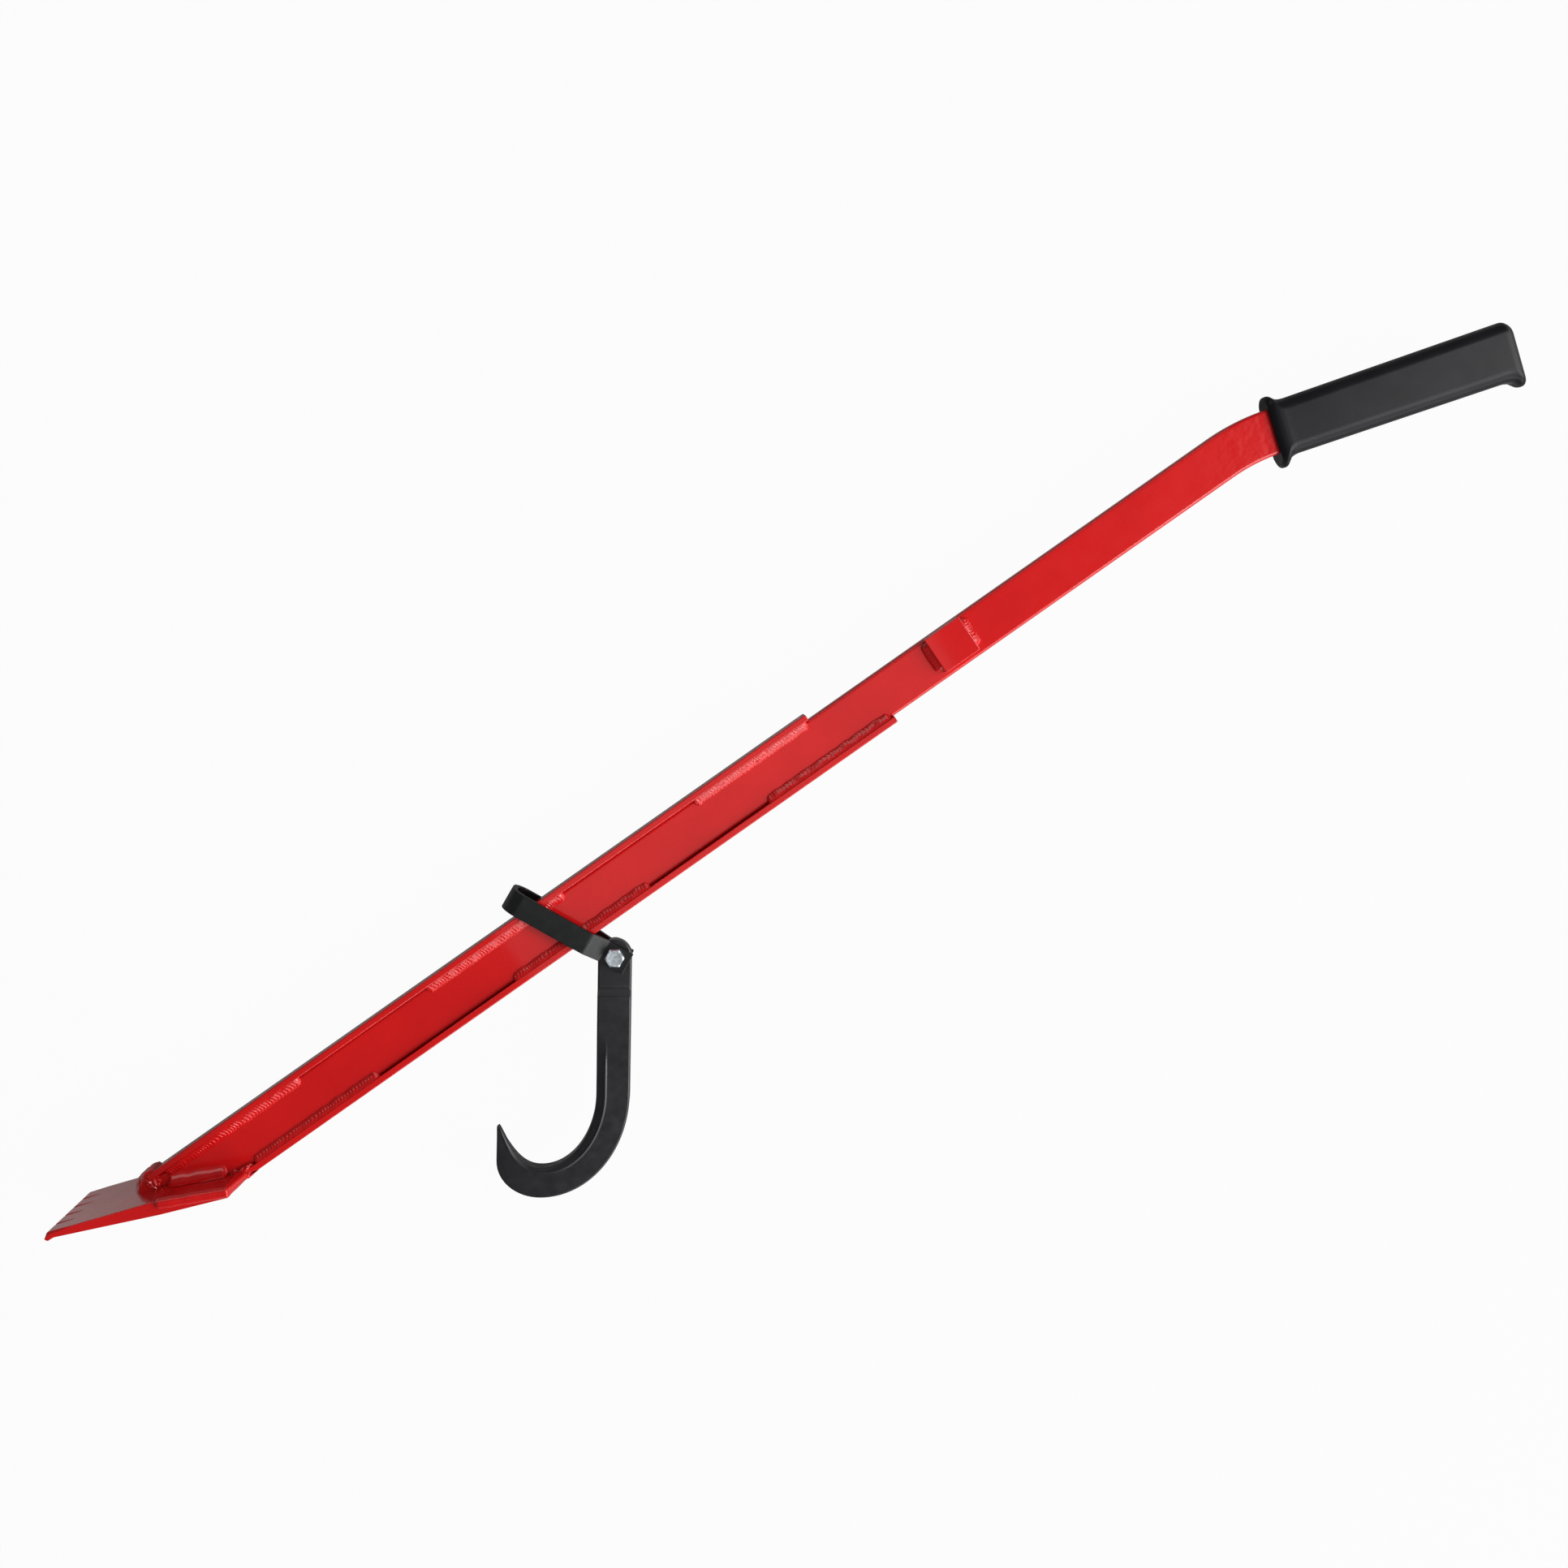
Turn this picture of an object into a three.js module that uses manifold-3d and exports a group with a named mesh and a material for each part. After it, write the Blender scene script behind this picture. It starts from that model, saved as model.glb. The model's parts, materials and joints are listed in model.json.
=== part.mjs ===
// Felling lever with a cant hook: a welded steel bar with a bent-up blade at one end and a
// moulded grip at the other, and a forged hook that hangs from a loose stirrup on the bar.
// Millimetres. The lever lies on its side: X runs along the bar from the blade to the grip,
// Y points to the lever's upper side and Z is up from the ground, across the bar.
import * as THREE from 'three';
import { mergeVertices } from 'three/addons/utils/BufferGeometryUtils.js';
import Module from 'manifold-3d';

const wasm = await Module();
wasm.setup();

// Clearances and cutting
const SEAT_GAP = 0.3;
const CUT_OVERRUN = 4;

// Flat bar, measured from its front end on its centre line
const BAR_HEIGHT = 35;
const BAR_THICKNESS = 12;
const BAR_EDGE_RADIUS = 2.5;
const BAR_STRAIGHT = 981;
const BEND_RADIUS = 160;
const BEND_ANGLE = 16;

// Flat strips welded on the two narrow sides of the bar
const FLANGE_WIDTH = 20;
const FLANGE_THICKNESS = 5;
const FLANGE_EDGE_RADIUS = 1;
const UPPER_FLANGE_END = 609;
const LOWER_FLANGE_END = 664;

// Stitch welds in the corners between the bar and the strips, as shares of each strip's length
const UPPER_STITCH_SHARES = [[0.02, 0.225], [0.417, 0.626], [0.823, 0.996]];
const LOWER_STITCH_SHARES = [[0.02, 0.212], [0.418, 0.627], [0.808, 0.996]];
const STITCH_WEB_LEG = 6;
const STITCH_FLANGE_LEG = 3.6;
const STITCH_CROWN = 0.8;
const WELD_TAPER = 4;
const WELD_TIP_SHARE = 0.45;

// Blade: its top bend line lies a little behind the bar's front end
const HEEL_X = 7.7;
const HEEL_Y = 7.5;
const BLADE_ANGLE = 19.3;
const BLADE_LENGTH = 82.4;
const BLADE_WIDTH = 86;
const BLADE_EDGE_RADIUS = 0.8;
const HEEL_THICKNESS = 11;
const HEEL_SETBACK = 3.4;
const TIP_THICKNESS = 5.1;
const TIP_LIP_DROP = 1.4;
const TIP_LIP_LENGTH = 4.5;
const REAR_BEND = 6.7;
const REAR_LENGTH = 55.2;
const REAR_THICKNESS = 6.6;
const NOSE_ROUND_SHARES = [[0, 0], [0.6, 0.12], [0.9, 0.38], [1, 0.7]];

// Grooves filed into the tip of the blade
const GROOVE_SPACES = 5;
const GROOVE_LENGTH = 19;
const GROOVE_DEPTH = 2.3;
const GROOVE_HALF_WIDTH = 2.2;

// Welds round the foot of the bar
const FOOT_WELD_LEG = 6;
const FOOT_WELD_CROWN = 0.8;
const FOOT_WELD_START = 1;
const FOOT_WELD_REAR_MARGIN = 9;
const FRONT_WELD_REACH = 17;
const FRONT_WELD_RISE = 3.1;
const FRONT_WELD_LAP = 8;
const FRONT_WELD_SHOULDER = 12;
const FRONT_WELD_SHOULDER_DROP = 2.3;
const REAR_WELD_BULGE = 1.5;
const EDGE_WELD_START = 3;
const EDGE_WELD_LAP = 3;
const EDGE_WELD_BULGE = 3.6;
const EDGE_WELD_RISE = 2.2;
const EDGE_WELD_DEPTH = 6;
const EDGE_WELD_CORNER_SHARE = 0.6;
const EDGE_WELD_REAR_SHARE = 1.8;

// Stop blocks on both faces of the bar
const STOP_START = 714.5;
const STOP_LENGTH = 31.5;
const STOP_HEIGHT = 30;
const STOP_THICKNESS = 8;
const STOP_TOP_SETBACK = 0.3;
const STOP_EDGE_RADIUS = 0.8;
const STOP_WELD_LEG = 5.5;
const STOP_WELD_CROWN = 0.9;
const STOP_WELD_MARGIN = 2.5;

// Moulded grip, measured from its collar face along the handle
const GRIP_OVER_BEND = 1;
const GRIP_LENGTH = 200;
const GRIP_END_WALL = 8;
const GRIP_WALL_AT_COLLAR = 4.1;
const GRIP_WALL_AT_END = 5.4;
const GRIP_SIDE_WALL = 6.5;
const GRIP_CORNER_RADIUS = 9.5;
const GRIP_CORNER_STEPS = 6;
const COLLAR_FLARE = 7.2;
const COLLAR_FLARE_LENGTH = 15;
const COLLAR_TOP_SHARE = 0.74;
const LIP_FLARE = 6.2;
const LIP_FLARE_LENGTH = 17;
const GRIP_END_RADIUS = 9.5;
const GRIP_END_STEPS = 5;
const FLARE_ALONG_SHARES = [0, 0.04, 0.15, 0.28, 0.38, 0.5, 0.72, 1];
const FLARE_HEIGHT_SHARES = [0.56, 0.82, 1, 0.92, 0.66, 0.34, 0.1, 0];

// Pivot bolt through the stirrup and the hook
const PIVOT_X = 384.4;
const PIVOT_DROP = 23.5;
const BOLT_DIAMETER = 8;
const BOLT_TAIL = 4.8;
const HEX_ACROSS_FLATS = 13;
const HEAD_HEIGHT = 5.3;
const NUT_HEIGHT = 8;
const NUT_COLLAR_INSET_SHARE = 0.12;
const NUT_COLLAR_SHARE = 0.3;
const WASHER_DIAMETER = 16;
const WASHER_THICKNESS = 1.6;
const BORE_CLEARANCE = 0.3;
const ROUND_STEPS = 28;

// Stirrup: one strap bent round the bar, its legs jogged in to the hook
const STIRRUP_LEAN = 24.9;
const STRAP_WIDTH = 17.5;
const STRAP_THICKNESS = 4.4;
const STRAP_EDGE_RADIUS = 0.6;
const STIRRUP_PLAY = 20.7;
const STIRRUP_SIDE_CLEARANCE = 2;
const STIRRUP_SETTLE = 1;
const STIRRUP_TAIL = 11.4;
const JOG_START = 10.5;
const STIRRUP_BEND_RADIUS = 8;
const STIRRUP_BEND_STEPS = 6;

// Hook, seen from above with its shank pointing down the page
const HOOK_SWING = 36.2;
const HOOK_WIDTH = 25.8;
const HOOK_THICKNESS = 15;
const HOOK_EYE_THICKNESS = 10;
const HOOK_EDGE_RADIUS = 1.3;
const HOOK_EYE_LENGTH = 23;
const HOOK_STEP_LENGTH = 8.6;
const HOOK_SHANK = 107.3;
const HOOK_REACH = 54.9;
const HOOK_DEPTH = 59.2;
const HOOK_BOTTOM_WIDTH = 23.3;
const HOOK_POINT_REACH = 88.8;
const HOOK_POINT_DROP = 131.8;
const HOOK_TOE_DROP = 161.4;
const HOOK_POINT_HALF_THICKNESS = 2;
const HOOK_FACET = 7;
const HOOK_FACET_DROP = 2.6;
const HOOK_FACET_START = 62;
const HOOK_EYE_ANGLES = [78, 62, 45, 25, 0];
const HOOK_CURVE_STEPS = 11;
const HOOK_TOE_STEPS = 7;
const HOOK_POINT_WIDTH_SHARE = 0.1;
const HOOK_TOE_INNER_SHARES = [[0, 1], [-0.46, 1], [-0.665, 0.575], [-1, 0]];

const COLOURS = {
  red: { color: '#c41a1c', roughness: 0.25, metalness: 0.1 },
  black: { color: '#232326', roughness: 0.4, metalness: 0.2 },
  strap: { color: '#17191b', roughness: 0.45, metalness: 0.2 },
  grip: { color: '#2a2a2c', roughness: 0.7, metalness: 0 },
  zinc: { color: '#c9d0d6', roughness: 0.35, metalness: 0.9 },
};

const HALF = 0.5;
const Z_AXIS = new THREE.Vector3(0, 0, 1);
const radians = THREE.MathUtils.degToRad;

// Sizes that follow from those above
const beamHalf = BAR_HEIGHT * HALF + FLANGE_THICKNESS;
const rearSlope = radians(BLADE_ANGLE + REAR_BEND);
const lowerFlangeSeat = (HEEL_Y + BAR_HEIGHT * HALF) / Math.sin(rearSlope);
const lowerFlangeStart = HEEL_X + lowerFlangeSeat * Math.cos(rearSlope);
const lowerFlangeFoot = (HEEL_Y + beamHalf) / Math.sin(rearSlope);
const legOuter = HOOK_EYE_THICKNESS * HALF + BORE_CLEARANCE + STRAP_THICKNESS;
const boreRadius = BOLT_DIAMETER * HALF + BORE_CLEARANCE;

// A closed mesh as a solid, with its shared corners merged
function toSolid(geometry) {
  const bare = geometry.clone();
  bare.deleteAttribute('normal');
  bare.deleteAttribute('uv');
  const merged = mergeVertices(bare);
  const vertProperties = new Float32Array(merged.attributes.position.array);
  const triVerts = new Uint32Array(merged.index.array);
  return new wasm.Manifold(new wasm.Mesh({ numProp: 3, vertProperties, triVerts }));
}

function toGeometry(solid) {
  const mesh = solid.getMesh();
  const geometry = new THREE.BufferGeometry();
  geometry.setAttribute('position', new THREE.BufferAttribute(mesh.vertProperties, mesh.numProp));
  geometry.setIndex(new THREE.BufferAttribute(mesh.triVerts, 1));
  geometry.computeVertexNormals();
  return geometry;
}

function cut(geometry, ...tools) {
  let solid = toSolid(geometry);
  for (const tool of tools) {
    solid = solid.subtract(toSolid(tool));
  }
  return toGeometry(solid);
}

// A plate of the given outline, centred on Z = 0, with rounded edges
function plate(shape, thickness, edgeRadius, edgeSteps, curveSteps) {
  const geometry = new THREE.ExtrudeGeometry(shape, {
    depth: thickness - edgeRadius - edgeRadius,
    bevelEnabled: edgeRadius > 0,
    bevelThickness: edgeRadius,
    bevelSize: edgeRadius,
    bevelOffset: -edgeRadius,
    bevelSegments: edgeSteps,
    curveSegments: curveSteps,
  });
  geometry.translate(0, 0, edgeRadius - thickness * HALF);
  return geometry;
}

function polygon(points) {
  return new THREE.Shape(points.map(([x, y]) => new THREE.Vector2(x, y)));
}

// A block between two opposite corners of its side view
function block(x0, y0, x1, y1, thickness, edgeRadius) {
  return plate(polygon([[x0, y0], [x1, y0], [x1, y1], [x0, y1]]), thickness, edgeRadius, 2, 1);
}

// A closed skin over a row of rings with equal counts of points, capped at both ends
function loft(rings) {
  const count = rings[0].length;
  const positions = rings.flat().flatMap((point) => [point.x, point.y, point.z]);
  const index = [];
  for (let ring = 0; ring + 1 < rings.length; ring += 1) {
    for (let i = 0; i < count; i += 1) {
      const a = ring * count + i;
      const b = ring * count + ((i + 1) % count);
      index.push(a, b, a + count, b, b + count, a + count);
    }
  }
  for (const [ring, flip] of [[0, true], [rings.length - 1, false]]) {
    const middle = rings[ring].reduce((sum, point) => sum.add(point), new THREE.Vector3());
    middle.divideScalar(count);
    const hub = positions.length / middle.toArray().length;
    positions.push(middle.x, middle.y, middle.z);
    for (let i = 0; i < count; i += 1) {
      const a = ring * count + i;
      const b = ring * count + ((i + 1) % count);
      index.push(...(flip ? [hub, b, a] : [hub, a, b]));
    }
  }
  const geometry = new THREE.BufferGeometry();
  geometry.setAttribute('position', new THREE.Float32BufferAttribute(positions, 3));
  geometry.setIndex(index);
  geometry.computeVertexNormals();
  return geometry;
}

// Turns a mirrored skin the right way round
function flipFaces(geometry) {
  const index = geometry.index.array;
  for (let i = 0; i < index.length; i += 3) {
    const first = index[i];
    index[i] = index[i + 1];
    index[i + 1] = first;
  }
  geometry.computeVertexNormals();
  return geometry;
}

function mirrored(geometry) {
  const copy = geometry.clone();
  copy.scale(1, 1, -1);
  return flipFaces(copy);
}

function cylinder(radius, bottom, top) {
  const geometry = new THREE.CylinderGeometry(radius, radius, top - bottom, ROUND_STEPS);
  geometry.rotateX(Math.PI / 2);
  geometry.translate(0, 0, (top + bottom) * HALF);
  return geometry;
}

function material(finish) {
  return new THREE.MeshStandardMaterial(COLOURS[finish]);
}

function part(name, geometry, finish) {
  const mesh = new THREE.Mesh(geometry, material(finish));
  mesh.name = name;
  return mesh;
}

// Frames of the foot: the blade's front part, and its rear part behind the heel bend
const footFrame = new THREE.Matrix4().makeRotationZ(radians(-BLADE_ANGLE));
footFrame.setPosition(HEEL_X, HEEL_Y, 0);
const rearFrame = footFrame.clone().multiply(new THREE.Matrix4().makeRotationZ(radians(-REAR_BEND)));

// Side view of the bar, grown by a margin all round for the grip's socket
function barOutline(margin) {
  const half = BAR_HEIGHT * HALF + margin;
  const turn = radians(BEND_ANGLE);
  const along = new THREE.Vector2(Math.cos(turn), -Math.sin(turn));
  const up = new THREE.Vector2(Math.sin(turn), Math.cos(turn));
  const end = new THREE.Vector2(BAR_STRAIGHT, -BEND_RADIUS)
    .addScaledVector(up, BEND_RADIUS)
    .addScaledVector(along, GRIP_LENGTH - GRIP_OVER_BEND - GRIP_END_WALL + margin);
  const low = end.clone().addScaledVector(up, -half);
  const high = end.clone().addScaledVector(up, half);
  const right = Math.PI / 2;
  const shape = new THREE.Shape();
  shape.moveTo(-margin, -half);
  shape.lineTo(BAR_STRAIGHT, -half);
  shape.absarc(BAR_STRAIGHT, -BEND_RADIUS, BEND_RADIUS - half, right, right - turn, true);
  shape.lineTo(low.x, low.y);
  shape.lineTo(high.x, high.y);
  shape.absarc(BAR_STRAIGHT, -BEND_RADIUS, BEND_RADIUS + half, right - turn, right, false);
  shape.lineTo(-margin, half);
  return shape;
}

function barSolid(margin) {
  const edge = BAR_EDGE_RADIUS;
  return plate(barOutline(margin), BAR_THICKNESS + margin + margin, edge, 3, 8);
}

// Side view of the blade in its front frame: X runs back from the tip, Y is up
function bladeOutline() {
  const nose = BLADE_LENGTH;
  const roll = TIP_LIP_LENGTH;
  const drop = TIP_THICKNESS + TIP_LIP_DROP;
  const rear = radians(REAR_BEND);
  const back = new THREE.Vector2(REAR_LENGTH * Math.cos(rear), -REAR_LENGTH * Math.sin(rear));
  const under = new THREE.Vector2(-Math.sin(rear), -Math.cos(rear)).multiplyScalar(REAR_THICKNESS);
  const points = [[0, 0]];
  for (const [along, down] of NOSE_ROUND_SHARES) {
    points.push([roll - nose - roll * along, -drop * down]);
  }
  points.push([roll * HALF - nose, -drop]);
  points.push([roll + roll * HALF - nose, -TIP_THICKNESS]);
  points.push([HEEL_SETBACK, -HEEL_THICKNESS]);
  points.push([back.x + under.x, back.y + under.y]);
  points.push([back.x, back.y]);
  return polygon(points.reverse());
}

// V grooves that run out along the top of the tip, the outer two half off the edges
function grooveTools() {
  const tilt = Math.atan2(GROOVE_DEPTH, GROOVE_LENGTH);
  const length = GROOVE_LENGTH + CUT_OVERRUN + CUT_OVERRUN;
  const rise = CUT_OVERRUN;
  const spread = GROOVE_HALF_WIDTH * (rise + GROOVE_DEPTH) / GROOVE_DEPTH;
  const tools = [];
  for (let i = 0; i <= GROOVE_SPACES; i += 1) {
    const tool = new THREE.ExtrudeGeometry(
      polygon([[0, -GROOVE_DEPTH], [spread, rise], [-spread, rise]]),
      { depth: length, bevelEnabled: false },
    );
    tool.rotateY(Math.PI / 2);
    tool.translate(-CUT_OVERRUN, 0, 0);
    tool.rotateZ(tilt);
    tool.translate(-BLADE_LENGTH, 0, BLADE_WIDTH * (i / GROOVE_SPACES - HALF));
    tools.push(tool);
  }
  return tools;
}

// Everything below the blade's top, plus the seat gap, as a tool that trims what stands on it
function bladeClearance() {
  const deep = beamHalf + BLADE_WIDTH;
  const rear = radians(REAR_BEND);
  const reach = lowerFlangeFoot + BLADE_LENGTH;
  const shape = polygon([
    [-reach, SEAT_GAP],
    [-reach, -deep],
    [reach * Math.cos(rear), -deep],
    [reach * Math.cos(rear), SEAT_GAP - reach * Math.sin(rear)],
    [0, SEAT_GAP],
  ]);
  return plate(shape, BLADE_WIDTH, 0, 1, 1).applyMatrix4(footFrame);
}

// Weld metal in a corner: one leg on each wall, with a crowned face and tapered ends.
// Local X runs along the weld, Y up the first wall and Z out over the second.
function cornerWeld(length, wallLeg, baseLeg, crown) {
  const rings = [];
  const stations = [[0, WELD_TIP_SHARE], [WELD_TAPER, 1], [length - WELD_TAPER, 1], [length, WELD_TIP_SHARE]];
  for (const [x, share] of stations) {
    const up = wallLeg * share;
    const out = baseLeg * share;
    const bulge = crown * share;
    rings.push([
      new THREE.Vector3(x, 0, 0),
      new THREE.Vector3(x, up, 0),
      new THREE.Vector3(x, up * HALF + bulge, out * HALF * HALF + bulge),
      new THREE.Vector3(x, up * HALF * HALF + bulge, out * HALF + bulge),
      new THREE.Vector3(x, 0, out),
    ]);
  }
  return loft(rings);
}

// Stitches of one seam; side is +1 at the upper strip and -1 at the lower
function seamWelds(group, label, side, shares, flangeStart, flangeEnd) {
  for (const [faceName, face] of [['near', 1], ['far', -1]]) {
    shares.forEach(([from, to], i) => {
      const x = THREE.MathUtils.lerp(flangeStart, flangeEnd, from);
      const length = (flangeEnd - flangeStart) * (to - from);
      let bead = cornerWeld(length, STITCH_WEB_LEG, STITCH_FLANGE_LEG, STITCH_CROWN);
      bead.scale(1, -side, face);
      bead = side * face > 0 ? flipFaces(bead) : bead;
      bead.translate(x, side * BAR_HEIGHT * HALF, face * BAR_THICKNESS * HALF);
      group.add(part(`seam_weld_${label}_${faceName}_${i + 1}`, bead, 'red'));
    });
  }
}

// Fillet between the bar's face and the blade's rear part, up to the bead at the rear corner
function footWeld(face) {
  const length = REAR_LENGTH - FOOT_WELD_REAR_MARGIN - FOOT_WELD_START;
  let bead = cornerWeld(length, FOOT_WELD_LEG, FOOT_WELD_LEG, FOOT_WELD_CROWN);
  bead.scale(1, 1, face);
  bead = face < 0 ? flipFaces(bead) : bead;
  bead.translate(FOOT_WELD_START, SEAT_GAP, face * BAR_THICKNESS * HALF);
  return bead.applyMatrix4(rearFrame);
}

// Weld that ramps from the blade up the bar's front end and laps over the upper strip
function frontWeld(clearance) {
  const top = beamHalf + SEAT_GAP;
  const toe = -FRONT_WELD_REACH;
  const base = HEEL_Y - Math.tan(radians(BLADE_ANGLE)) * (toe - HEEL_X);
  const shape = polygon([
    [-SEAT_GAP, -HEEL_Y],
    [-SEAT_GAP, top],
    [FRONT_WELD_LAP, top],
    [FRONT_WELD_LAP - FRONT_WELD_RISE * HALF, top + FRONT_WELD_RISE],
    [0, top + FRONT_WELD_RISE],
    [-FRONT_WELD_SHOULDER, top + FRONT_WELD_RISE - FRONT_WELD_SHOULDER_DROP],
    [toe, base],
    [toe, -HEEL_Y],
  ].reverse());
  return cut(plate(shape, FLANGE_WIDTH, 0, 1, 1), clearance);
}

// Weld that fills the corner between the blade's rear face and the lower strip's oblique end
function rearWeld() {
  const start = REAR_LENGTH + SEAT_GAP;
  const shape = polygon([
    [start, -REAR_THICKNESS],
    [(start + lowerFlangeFoot) * HALF, -REAR_THICKNESS * HALF - REAR_WELD_BULGE],
    [lowerFlangeFoot, -SEAT_GAP],
    [lowerFlangeFoot - SEAT_GAP, 0],
    [start, 0],
  ]);
  return plate(shape, FLANGE_WIDTH, 0, 1, 1).applyMatrix4(rearFrame);
}

// Bead laid over the blade's side edge and round its rear corner to the lower strip.
// Section points are an outward offset from the edge and a height over the blade's top.
function edgeWeld() {
  const lap = EDGE_WELD_LAP;
  const bulge = EDGE_WELD_BULGE;
  const rise = EDGE_WELD_RISE;
  const depth = EDGE_WELD_DEPTH;
  const gap = SEAT_GAP;
  const section = [
    [gap, -depth],
    [gap, gap],
    [-lap, gap],
    [-lap * HALF, rise],
    [bulge * HALF, rise],
    [bulge - gap, rise * HALF],
    [bulge - gap - gap, -gap],
    [bulge, -depth * HALF],
    [bulge * HALF, -depth - gap],
  ];
  const side = BLADE_WIDTH * HALF;
  const inner = FLANGE_WIDTH * HALF + SEAT_GAP;
  const corner = [EDGE_WELD_CORNER_SHARE, 1];
  const rear = [EDGE_WELD_REAR_SHARE, 0];
  const stations = [
    { x: EDGE_WELD_START, z: side, out: [0, 1], share: WELD_TIP_SHARE },
    { x: EDGE_WELD_START + WELD_TAPER, z: side, out: [0, 1], share: 1 },
    { x: REAR_LENGTH, z: side, out: corner, share: 1 },
    { x: REAR_LENGTH, z: inner + WELD_TAPER, out: rear, share: 1 },
    { x: REAR_LENGTH, z: inner, out: rear, share: 1 },
  ];
  const rings = stations.map(({ x, z, out, share }) => section.map(([offset, height]) => {
    const q = offset > gap || offset < 0 ? offset * share : offset;
    const h = height > gap ? gap + (height - gap) * share : height;
    return new THREE.Vector3(x + q * out[0], h, z + q * out[1]);
  }));
  return loft(rings).applyMatrix4(rearFrame);
}

function stopBlock(face) {
  const top = BAR_HEIGHT * HALF - STOP_TOP_SETBACK;
  const bottom = top - STOP_HEIGHT;
  const geometry = block(STOP_START, bottom, STOP_START + STOP_LENGTH, top, STOP_THICKNESS, STOP_EDGE_RADIUS);
  geometry.translate(0, 0, face * (BAR_THICKNESS + STOP_THICKNESS) * HALF);
  return geometry;
}

// Bead down one end of a stop block; end is -1 at the blade's side and +1 at the grip's side
function stopWeld(face, end) {
  const length = STOP_HEIGHT - STOP_WELD_MARGIN - STOP_WELD_MARGIN;
  const top = BAR_HEIGHT * HALF - STOP_TOP_SETBACK - STOP_WELD_MARGIN;
  const edge = end < 0 ? STOP_START : STOP_START + STOP_LENGTH;
  let bead = cornerWeld(length, STOP_WELD_LEG, STOP_WELD_LEG, STOP_WELD_CROWN);
  bead.rotateZ(-Math.PI / 2);
  bead.scale(end, 1, face);
  bead = end * face < 0 ? flipFaces(bead) : bead;
  bead.translate(edge, top, face * BAR_THICKNESS * HALF);
  return bead;
}

// Swell of a moulded rim at a distance from its face, by straight steps between the shares
function flareHeight(distance, length, height) {
  for (let i = 1; i < FLARE_ALONG_SHARES.length; i += 1) {
    const from = FLARE_ALONG_SHARES[i - 1] * length;
    const to = FLARE_ALONG_SHARES[i] * length;
    if (distance <= to) {
      const mix = (distance - from) / (to - from);
      return height * THREE.MathUtils.lerp(FLARE_HEIGHT_SHARES[i - 1], FLARE_HEIGHT_SHARES[i], mix);
    }
  }
  return 0;
}

// Section of the grip: a rounded oblong with its own upper and lower half height
function gripRing(x, up, down, halfThickness) {
  const radius = Math.min(GRIP_CORNER_RADIUS, halfThickness * (1 - HALF * HALF * HALF));
  const ring = [];
  const corners = [[1, 1], [-1, 1], [-1, -1], [1, -1]];
  corners.forEach(([sideZ, sideY], quadrant) => {
    const centreY = sideY > 0 ? up - radius : radius - down;
    const centreZ = sideZ * (halfThickness - radius);
    for (let i = 0; i < GRIP_CORNER_STEPS; i += 1) {
      const angle = (quadrant + i / (GRIP_CORNER_STEPS - 1)) * Math.PI / 2;
      ring.push(new THREE.Vector3(x, centreY + radius * Math.sin(angle), centreZ + radius * Math.cos(angle)));
    }
  });
  return ring;
}

function gripSkin() {
  const stops = new Set([0, GRIP_LENGTH]);
  for (const share of FLARE_ALONG_SHARES) {
    stops.add(share * COLLAR_FLARE_LENGTH);
    stops.add(GRIP_LENGTH - share * LIP_FLARE_LENGTH);
  }
  for (let i = 1; i <= GRIP_END_STEPS; i += 1) {
    const angle = radians(90) * i / GRIP_END_STEPS;
    stops.add(GRIP_LENGTH - GRIP_END_RADIUS * (1 - Math.sin(angle)));
  }
  const rings = [...stops].sort((a, b) => a - b).map((x) => {
    const wall = THREE.MathUtils.lerp(GRIP_WALL_AT_COLLAR, GRIP_WALL_AT_END, x / GRIP_LENGTH);
    const half = BAR_HEIGHT * HALF + wall;
    const collar = flareHeight(x, COLLAR_FLARE_LENGTH, COLLAR_FLARE);
    const lip = flareHeight(GRIP_LENGTH - x, LIP_FLARE_LENGTH, LIP_FLARE);
    const past = Math.max(0, x - GRIP_LENGTH + GRIP_END_RADIUS);
    const round = GRIP_END_RADIUS - Math.sqrt(Math.max(0, GRIP_END_RADIUS ** 2 - past ** 2));
    const side = BAR_THICKNESS * HALF + GRIP_SIDE_WALL + collar * HALF - round;
    return gripRing(x, half + collar * COLLAR_TOP_SHARE - round, half + collar + lip, side);
  });
  return flipFaces(loft(rings));
}

function grip() {
  const turn = radians(BEND_ANGLE);
  const frame = new THREE.Matrix4().makeRotationZ(-turn);
  frame.setPosition(
    BAR_STRAIGHT + BEND_RADIUS * Math.sin(turn) - GRIP_OVER_BEND * Math.cos(turn),
    BEND_RADIUS * Math.cos(turn) - BEND_RADIUS + GRIP_OVER_BEND * Math.sin(turn),
    0,
  );
  return cut(gripSkin().applyMatrix4(frame), barSolid(SEAT_GAP));
}

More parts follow.
